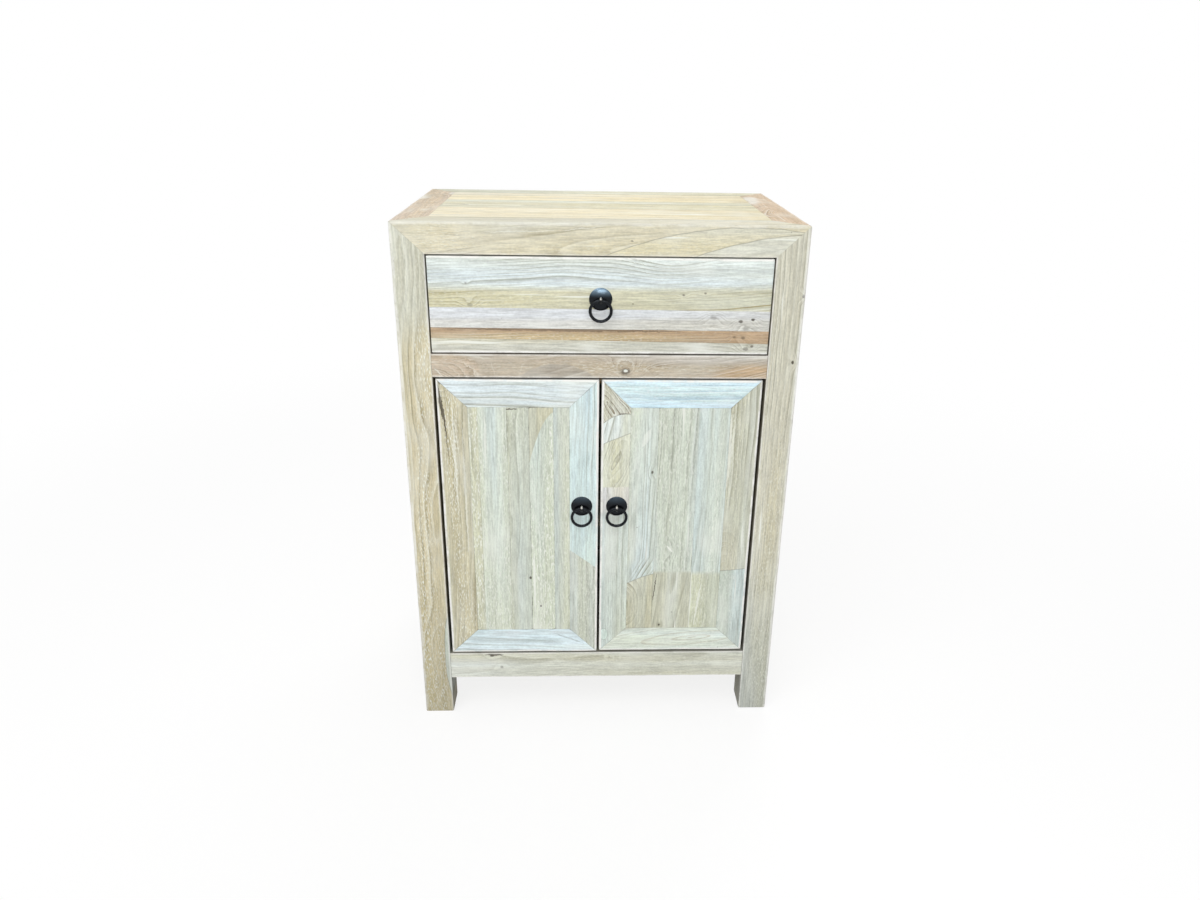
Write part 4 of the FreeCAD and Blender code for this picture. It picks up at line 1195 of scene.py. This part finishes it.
DRAWER_BOX = {"drawer_side_left": (Y, 111), "drawer_side_right": (Y, 112), "drawer_back": (X, 113),
              "drawer_bottom": (X, 114)}


def make_drawer_box():
    sizes = bpy.context.scene.cabinet_edges
    for node, (along, seed) in DRAWER_BOX.items():
        low, high = span(node)
        form = board(low, high, along, default_edge=sizes.eased, seams=(0, 0), seed=seed)
        plank(node, form, along, low, high, look="inside", seed=seed)


# ---------------------------------------------------------------- doors
DOOR_LOOKS = {
    "door_left_stile_hinge": wood("straw", 121, rings=5.0, slope=(0.06, 0, 0), pith=(-262, -120, 350),
        lines=0.8, pores=0.9, tone=(0.965, 0.965, 0.96), knots=[(-242, 614, 5.0, 0.5)],
        cracks=[(-246, 612, -240, 552, 2.4, 0.9), (-241, 592, -236, 522, 1.7, 0.85),
            (-239, 560, -233, 470, 1.2, 0.5), (-226, 600, -224, 380, 2.4, -0.5),
            (-212, 560, -211, 300, 2.0, -0.4)]),
    "door_left_stile_meeting": wood("sage", 122, rings=6, slope=(0.005, 0, 0), tone=(0.965, 0.968, 0.985),
        patches=[
            ("above", -30, 310, -0.77, 0, 0.6,
                wood("sky", 123, rings=5.5, lines=0.7, pores=0.2, slope=(0.012, 0, 0),
                    pith=(10, -160, 400)))],
        knots=[(-9, 243, 3.0, -0.4)]),
    "door_left_rail_top": wood("mint", 124, rings=8, pith=(-20, -160, 655), slope=(0, 0.02, -0.04), wander=14,
        lines=1.0),
    "door_left_rail_low": wood("sky", 125, rings=8, pith=(-120, -150, 100), slope=(0, 0, -0.08), wander=14,
        lines=0.6, tone=(1.045, 1.035, 1.06), cracks=[(-76, 162, -22, 140, 1.6, 0.3)]),
    "door_right_stile_hinge": wood("greige", 132, rings=5.5, slope=(0.01, 0, 0), pith=(262, -160, 400),
        lines=0.9, tone=(0.955, 0.962, 0.95),
        cracks=[(203.5, 566, 203, 436, 3.6, -0.55), (209, 545, 206, 470, 2.0, -0.4)],
        patches=[
            ("oval", 211, 300, 24, 62, 0.5,
                wood("greige", 132, tone=(0.955, 0.95, 0.93), rings=5.5, slope=(0, 0.42, 0), wander=5,
                    lines=1.7, pith=(208, -182.5, 280), line_tint=(0.90, 0.88, 0.80))),
            ("below", 224, 285, 0.113, 0, wood("mist", 131, tone=(0.93, 0.945, 0.965), lines=0.3))]),
    "door_right_stile_meeting": wood("mist", 133, rings=6, slope=(0.004, 0, 0), lines=0.7, wander=8,
        pores=0.2, cracks=[(26, 560.5, 44, 562.5, 1.3, 0.5)],
        patches=[
            ("oval", 10.5, 159.5, 6.5, 11.5, wood("sky", 147, lines=0.3)),
            ("above", 22, 392, 0.1, 0, 8, wood("lilac", 141, rings=6, lines=0.4)),
            ("above", 22, 437, 0.03, 0, 1.5,
                wood("ash", 135, tone=(1.03, 1.04, 1.03), rings=5, slope=(0.3, 0.3, 0), wander=40,
                    pith=(20, -183, 470))),
            ("above", 22, 519, 0.435, 0, wood("mint", 136, rings=7, slope=(0.3, 0, 0), wander=24)),
            ("above", 22, 557.5, 0.47, -13,
                wood("sage", 137, tone=(1.0, 0.975, 0.97), rings=5, wander=50, slope=(-0.5, 0.3, 0),
                    pith=(14, -183, 575), lines=1.6, line_tint=(0.66, 0.62, 0.56)))]),
    "door_right_rail_top": wood("sky", 138, rings=8, pith=(200, -160, 640), slope=(0, 0, 0.01), wander=9,
        lines=1.0, tone=(1.0, 1.02, 1.06), line_tint=(0.76, 0.82, 0.86), knots=[(48, 590, 5.0, 0.0)]),
    "door_right_rail_low": wood("mint", 139, tone=(0.99, 1.0, 0.995), rings=7, pith=(150, -184, 150),
        slope=(0, 0.14, 0.10), wander=16, lines=0.9, line_tint=(0.88, 0.84, 0.78)),
}
SOFT_GRAIN = dict(slope=(0.01, 0, 0), wander=10, streaks=0.55, lines=0.5)
DOOR_PANELS = {
    "left": ((-188, -144, -110, -72),
        (
            wood("sage", 141, rings=5, pores=0.9, tone=(1.01, 0.995, 0.97), seams=0.5, **SOFT_GRAIN),
            wood("mist", 142, rings=4.5, seams=0.1, pores=0.7, tone=(1, 0.995, 0.98),
                cracks=[(-177, 562, -178, 470, 2.4, -0.5)], **SOFT_GRAIN),
            wood("sage", 143, rings=4.5, seams=0.9, knots=[(-112, 271, 2.4, 0.9)],
                cracks=[(-152, 569.4, -126, 569, 1.0, 0.85)], **SOFT_GRAIN),
            wood("mist", 144, rings=4.5, pores=0.9, wash=0.5, seams=0.9, knots=[(-95.7, 216, 1.8, 0.8)],
                tone=(0.99, 0.99, 0.975),
                patches=[("above", -66, 566, 0, -45, 1.2, wood("honey", 145, **SOFT_GRAIN))], **SOFT_GRAIN),
            wood("sage", 145, seams=0.4, **SOFT_GRAIN))),
    "right": ((91, 154),
        (
            wood("mist", 151, rings=5, slope=(0.02, 0, 0), wander=14, lines=0.7, streaks=0.6,
                patches=[
                    ("below", 69, 300, 0.3, 0, 12,
                        wood("mist", 157, rings=5, slope=(0.5, 0, 0), wander=12, lines=1.6,
                            pith=(40, -165, 262))),
                    ("below", 69, 270, 0.42, -2.0,
                        wood("honey", 156, rings=6, slope=(0, 0.6, 0), wander=5, pith=(40, -182.5, 218),
                            lines=1.6))],
                knots=[(83.7, 463, 2.4, 0.9)],
                cracks=[(97.2, 282, 91, 222, 1.0, 0.85), (80, 538, 66, 506, 6.0, -0.45)]),
            wood("sage", 153, rings=5, slope=(0.02, 0, 0), wander=12, lines=0.7, streaks=0.6,
                tone=(0.985, 1.0, 1.03),
                patches=[
                    ("below", 120, 281, -0.02, 0, 4,
                        wood("honey", 154, tone=(0.99, 1.0, 1.02), rings=5, slope=(0.14, 0, 0), wander=8))],
                knots=[(117, 325, 4.5, -0.35), (104, 177, 1.8, 0.9)],
                cracks=[(97.2, 282, 91, 222, 1.0, 0.85), (111, 331, 122, 318, 2.2, -0.8)]),
            wood("mist", 155, rings=4.0, pores=0.9, tone=(0.99, 0.99, 0.98),
                patches=[
                    ("below", 170, 279, 0, 0, 6,
                        wood("sage", 159, tone=(0.985, 0.98, 0.95), slope=(0.12, 0, 0), wander=8, rings=5))],
                cracks=[(172, 262, 162, 174, 2.2, -0.6)], **SOFT_GRAIN))),
}


def make_door(side):
    sizes = bpy.context.scene.cabinet_edges
    door = "door_" + side + "_"
    low = span(door + "rail_low")[0]
    high = span(door + "rail_top")[1]
    hinge, meeting = ("-x", "+x") if side == "left" else ("+x", "-x")
    hinge_x, meeting_x = (low[X], high[X]) if side == "left" else (high[X], low[X])
    members = (("stile_hinge", Z, hinge, hinge_x), ("stile_meeting", Z, meeting, meeting_x),
               ("rail_low", X, "-z", low[Z]), ("rail_top", X, "+z", high[Z]))
    for number, (name, along, outer, outer_place) in enumerate(members):
        node = door + name
        a, b = span(node)
        other = X if along == Z else Z
        inner_place = outer_place + math.copysign(DOOR_MEMBER, middle(low, high)[other] - outer_place)
        a[other], b[other] = sorted((outer_place, inner_place))
        edges = {"".join(sorted((face, outer), key=lambda label: label[1])): sizes.door
                 for face in ("-y", "+y")}
        form = board(a, b, along, edges, seed=number, dark=(outer,),
                     start=lambda p: low[along] + np.abs(p[..., other] - outer_place),
                     end=lambda p: high[along] - np.abs(p[..., other] - outer_place))
        plank(node, eased(form, low, high, sizes.door * OUTER_SHARE), along, a, b, wear=1.0, seams=0.6,
              gaps=OVER_DOOR_GAP_SHADE if name == "rail_top" else FRONT_GAP_SHADE, **DOOR_LOOKS[node])
    joints, looks = DOOR_PANELS[side]
    boarded_panel(door + "panel", X, [x * MM for x in joints], looks)


# ---------------------------------------------------------------- ring pulls
def plate_profile(radius, depth):
    """Outline of the domed plate: flat back, short rounded rim, then a ball-shaped dome in to its hole."""
    sizes = bpy.context.scene.cabinet_pulls
    rise = depth - sizes.rim
    ball = (radius ** 2 + rise ** 2) / (2 * rise)
    reach = np.linspace(radius - PLATE_BEVEL, sizes.hole, DOME_STEPS)
    dome = depth - ball + np.sqrt(ball ** 2 - reach ** 2)
    rim = [(sizes.hole, 0.0), (radius - PLATE_BEVEL, 0.0), (radius, PLATE_BEVEL * 0.7),
           (radius, sizes.rim - PLATE_BEVEL)]
    return np.array(rim + list(zip(reach, dome)))


def eyelet_path(x, y_eye, z, y_behind):
    """Line of the split pin: in along one bent leg, forward, round the eye and back along the other leg."""
    sizes = bpy.context.scene.cabinet_pulls
    opening = math.asin(sizes.leg_gap / sizes.eye)
    angle = np.linspace(opening, 2 * math.pi - opening, EYE_STEPS)
    eye = np.stack([np.full(len(angle), x), y_eye + sizes.eye * np.cos(angle),
                    z + sizes.eye * np.sin(angle)], -1)
    bend = np.linspace(math.pi / 2, 0, BEND_STEPS)
    corner = np.stack([np.full(len(bend), x), y_behind - sizes.eye_wire * (1 - np.sin(bend)),
                       z + sizes.leg_gap + sizes.eye_wire * (1 - np.cos(bend))], -1)
    upper = np.concatenate([[(x, y_behind, z + sizes.leg)], corner])
    lower = upper.copy()
    lower[:, Z] = 2 * z - upper[:, Z]
    return np.concatenate([upper, eye, lower[::-1]])


def make_pull(pull, metal, polish):
    sizes = bpy.context.scene.cabinet_pulls
    low, high = span(pull + "_pull_plate")
    centre = middle(low, high)
    centre[Y] = high[Y]
    plate = lathe(plate_profile((high[X] - low[X]) / 2, high[Y] - low[Y]), centre)
    plate_metal = blackened_iron(pull + "_plate_iron", centre[Z], polish)
    settle(mesh_object(pull + "_plate_iron", [plate], [plate_metal]), pull + "_pull_plate")
    low, high = span(pull + "_pull_ring")
    wire_radius = (high[Y] - low[Y]) / 2
    ring = hoop(middle(low, high), (high[X] - low[X]) / 2 - wire_radius, wire_radius, Y)
    settle(mesh_object(pull + "_ring_iron", [ring], [metal]), pull + "_pull_ring")
    low, high = span(pull + "_pull_eyelet")
    path = eyelet_path(centre[X], low[Y] + sizes.eye_wire + sizes.eye, centre[Z], high[Y] - sizes.eye_wire)
    widening = np.interp(path[:, Y], [low[Y], low[Y] + 2 * sizes.eye], [EYE_FLATTENED, 1.0])
    pin = wire(path, sizes.eye_wire, (1, 0, 0), widening)
    pin_metal = rubbed_iron(pull + "_rubbed_iron", centre[Z])
    settle(mesh_object(pull + "_eyelet_iron", [pin], [pin_metal]), pull + "_pull_eyelet")


# ---------------------------------------------------------------- studio
FLOOR_RADIUS = 14
WHITE = (1, 1, 1, 1)
LAMP_TARGET = (0, 0, 0.45)
LAMPS = {   # place and size of each lamp
    "key": ((-1.2, -1.9, 3.3), (2.4, 2.4)),
    "fill": ((2.0, -2.2, 1.5), (2.0, 2.0)),
    "front": ((0.15, -2.6, 1.55), (1.4, 0.42)),
    "back": ((0.8, 2.4, 2.6), (2.2, 2.2)),
}


def seen_directly(g):
    """1 for rays from the camera, from mirrors and through glass, which see the plain background."""
    path = g.tree.nodes.new("ShaderNodeLightPath").outputs
    return g.most(*(Value(g, path[f"Is {kind} Ray"]) for kind in ("Camera", "Glossy", "Transmission")))


def make_floor(studio):
    """A wide round floor: white to the eye with the object's shadow left in it, pale grey to other light."""
    angle = round_angles(FLOOR_STEPS)
    rim = np.stack([FLOOR_RADIUS * np.cos(angle), FLOOR_RADIUS * np.sin(angle), 0 * angle], -1)
    mesh = bpy.data.meshes.new("floor")
    mesh.from_pydata(rim.tolist(), [], [list(range(len(angle)))])
    floor = bpy.data.objects.new("floor", mesh)
    bpy.context.scene.collection.objects.link(floor)
    material = bpy.data.materials.new("studio_floor")
    material.use_nodes = True
    material.node_tree.nodes.clear()
    g = Graph(material.node_tree)
    shadow = 1 - studio.floor_glow
    shaded = g.add("BsdfDiffuse", {"Color": (shadow, shadow, shadow, 1)})
    glow = g.add("Emission", {"Color": WHITE, "Strength": studio.floor_glow})
    near = g.add("AddShader", {0: shaded, 1: glow})
    white = g.add("Emission", {"Color": WHITE, "Strength": 1.0})
    away = g.length(g.add("TexCoord", output=3))
    shown = g.add("MixShader", {0: g.step(away, 1.0, 2.2), 1: near, 2: white})
    grey = g.add("BsdfDiffuse", {"Color": (0.8, 0.8, 0.8, 1)})
    output = g.tree.nodes.new("ShaderNodeOutputMaterial")
    g.fill(output, {"Surface": g.add("MixShader", {0: seen_directly(g), 1: grey, 2: shown})})
    mesh.materials.append(material)
    floor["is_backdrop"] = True


def make_world(studio):
    """White to the eye, an even pale light to the object."""
    world = bpy.data.worlds.new("studio_world")
    world.use_nodes = True
    g = Graph(world.node_tree)
    strength = seen_directly(g) * (1.0 - studio.sky_light) + studio.sky_light
    g.fill(world.node_tree.nodes["Background"], {"Color": WHITE, "Strength": strength})
    bpy.context.scene.world = world


def make_lamp(name, place, size, power):
    """An oblong area lamp that looks at the object: its -Z runs to the middle of it and its X stays level."""
    data = bpy.data.lights.new(name, "AREA")
    data.shape = "RECTANGLE"
    data.size, data.size_y = size
    data.energy = power
    light = bpy.data.objects.new(name, data)
    bpy.context.scene.collection.objects.link(light)
    back = np.array(place, float) - np.array(LAMP_TARGET, float)
    back /= np.linalg.norm(back)
    side = np.cross((0, 0, 1), back)
    side /= np.linalg.norm(side)
    light.location = place
    light.rotation_euler = Matrix(np.stack([side, np.cross(back, side), back], 1).tolist()).to_euler()


def make_camera(studio):
    data = bpy.data.cameras.new("camera")
    data.sensor_width = 36
    data.lens = studio.lens
    data.shift_x, data.shift_y = studio.shift
    camera = bpy.data.objects.new("camera", data)
    bpy.context.scene.collection.objects.link(camera)
    place = Matrix.Translation(studio.eye)
    for turn in ((0, 0, studio.yaw), (studio.pitch, 0, 0), (0, studio.roll, 0), (math.pi / 2, 0, 0)):
        place = place @ Euler(turn).to_matrix().to_4x4()
    camera.matrix_world = place
    bpy.context.scene.camera = camera


# ---------------------------------------------------------------- operators and panel
class CABINET_OT_posts(bpy.types.Operator):
    """Four square posts with worn edges, mitred into the top frame"""

    bl_idname = "cabinet.posts"
    bl_label = "Posts"

    def execute(self, context):
        make_posts()
        return {"FINISHED"}


class CABINET_OT_top_frame(bpy.types.Operator):
    """Four top rails with three-way mitres"""

    bl_idname = "cabinet.top_frame"
    bl_label = "Top frame"

    def execute(self, context):
        make_top_frame()
        return {"FINISHED"}


class CABINET_OT_top_boards(bpy.types.Operator):
    """Three boards of the top"""

    bl_idname = "cabinet.top_boards"
    bl_label = "Top boards"

    def execute(self, context):
        make_top_boards()
        return {"FINISHED"}


class CABINET_OT_rails(bpy.types.Operator):
    """Middle rail and bottom rails"""

    bl_idname = "cabinet.rails"
    bl_label = "Rails"

    def execute(self, context):
        make_rails()
        return {"FINISHED"}


class CABINET_OT_panels(bpy.types.Operator):
    """Side and back panels of upright boards"""

    bl_idname = "cabinet.panels"
    bl_label = "Panels"

    def execute(self, context):
        make_panels()
        return {"FINISHED"}


class CABINET_OT_inside(bpy.types.Operator):
    """Finish of the shelf, floor, runners and other wood inside"""

    bl_idname = "cabinet.inside"
    bl_label = "Inside"

    def execute(self, context):
        make_inside()
        return {"FINISHED"}


class CABINET_OT_drawer(bpy.types.Operator):
    """Five staves of the drawer front and the drawer box"""

    bl_idname = "cabinet.drawer"
    bl_label = "Drawer"

    def execute(self, context):
        make_drawer_front()
        make_drawer_box()
        return {"FINISHED"}


class CABINET_OT_doors(bpy.types.Operator):
    """Two mitred doors with boarded panels"""

    bl_idname = "cabinet.doors"
    bl_label = "Doors"

    def execute(self, context):
        for side in DOOR_PANELS:
            make_door(side)
        return {"FINISHED"}


class CABINET_OT_pulls(bpy.types.Operator):
    """Plates, eyelets and rings of the three pulls"""

    bl_idname = "cabinet.pulls"
    bl_label = "Ring pulls"

    def execute(self, context):
        metal = blackened_iron("blackened_iron")
        for pull, polish in PLATE_SHEEN.items():
            make_pull(pull, metal, polish)
        return {"FINISHED"}


class CABINET_OT_small_metal(bpy.types.Operator):
    """Finish of screws, pivot pins, strikes and magnets"""

    bl_idname = "cabinet.small_metal"
    bl_label = "Small metal"

    def execute(self, context):
        colours = context.scene.cabinet_colours
        zinc = plated_metal("zinc_plate", colours.zinc, 0.32)
        for node in ZINC_NODES:
            dress(node, zinc)
        dress("catch_magnets", plated_metal("nickel_plate", colours.nickel, 0.2))
        return {"FINISHED"}


class CABINET_OT_studio(bpy.types.Operator):
    """Camera, lamps, floor and background"""

    bl_idname = "cabinet.studio"
    bl_label = "Studio"

    def execute(self, context):
        studio = context.scene.cabinet_studio
        context.scene.view_settings.view_transform = "Standard"
        make_floor(studio)
        make_world(studio)
        for name, (place, size) in LAMPS.items():
            make_lamp(name, place, size, getattr(studio, name + "_power"))
        make_camera(studio)
        return {"FINISHED"}


OPERATORS = (CABINET_OT_posts, CABINET_OT_top_frame, CABINET_OT_top_boards, CABINET_OT_rails,
             CABINET_OT_panels, CABINET_OT_inside, CABINET_OT_drawer, CABINET_OT_doors, CABINET_OT_pulls,
             CABINET_OT_small_metal, CABINET_OT_studio)
SETTINGS = {"cabinet_edges": CabinetEdges, "cabinet_pulls": CabinetPulls, "cabinet_colours": CabinetColours,
            "cabinet_studio": CabinetStudio}


class CABINET_PT_sidebar(bpy.types.Panel):
    """Lists the cabinet's pieces in the sidebar"""

    bl_idname = "CABINET_PT_sidebar"
    bl_label = "Cabinet"
    bl_space_type = "VIEW_3D"
    bl_region_type = "UI"
    bl_category = "Cabinet"

    def draw(self, context):
        for operator in OPERATORS:
            self.layout.operator(operator.bl_idname)


def register():
    for made in (*SETTINGS.values(), *OPERATORS, CABINET_PT_sidebar):
        bpy.utils.register_class(made)
    for name, settings in SETTINGS.items():
        setattr(bpy.types.Scene, name, bpy.props.PointerProperty(type=settings))


def unregister():
    for name in SETTINGS:
        delattr(bpy.types.Scene, name)
    for made in (CABINET_PT_sidebar, *reversed(OPERATORS), *reversed(SETTINGS.values())):
        bpy.utils.unregister_class(made)


def corners(box):
    """A box as plain lists."""
    return [[float(v) for v in corner] for corner in box]


def main():
    register()
    for operator in OPERATORS:
        getattr(bpy.ops.cabinet, operator.bl_idname.split(".")[1])()
    {"cad": corners(CAD_BOX), "visual": corners(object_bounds())}


if __name__ == "__main__":
    main()
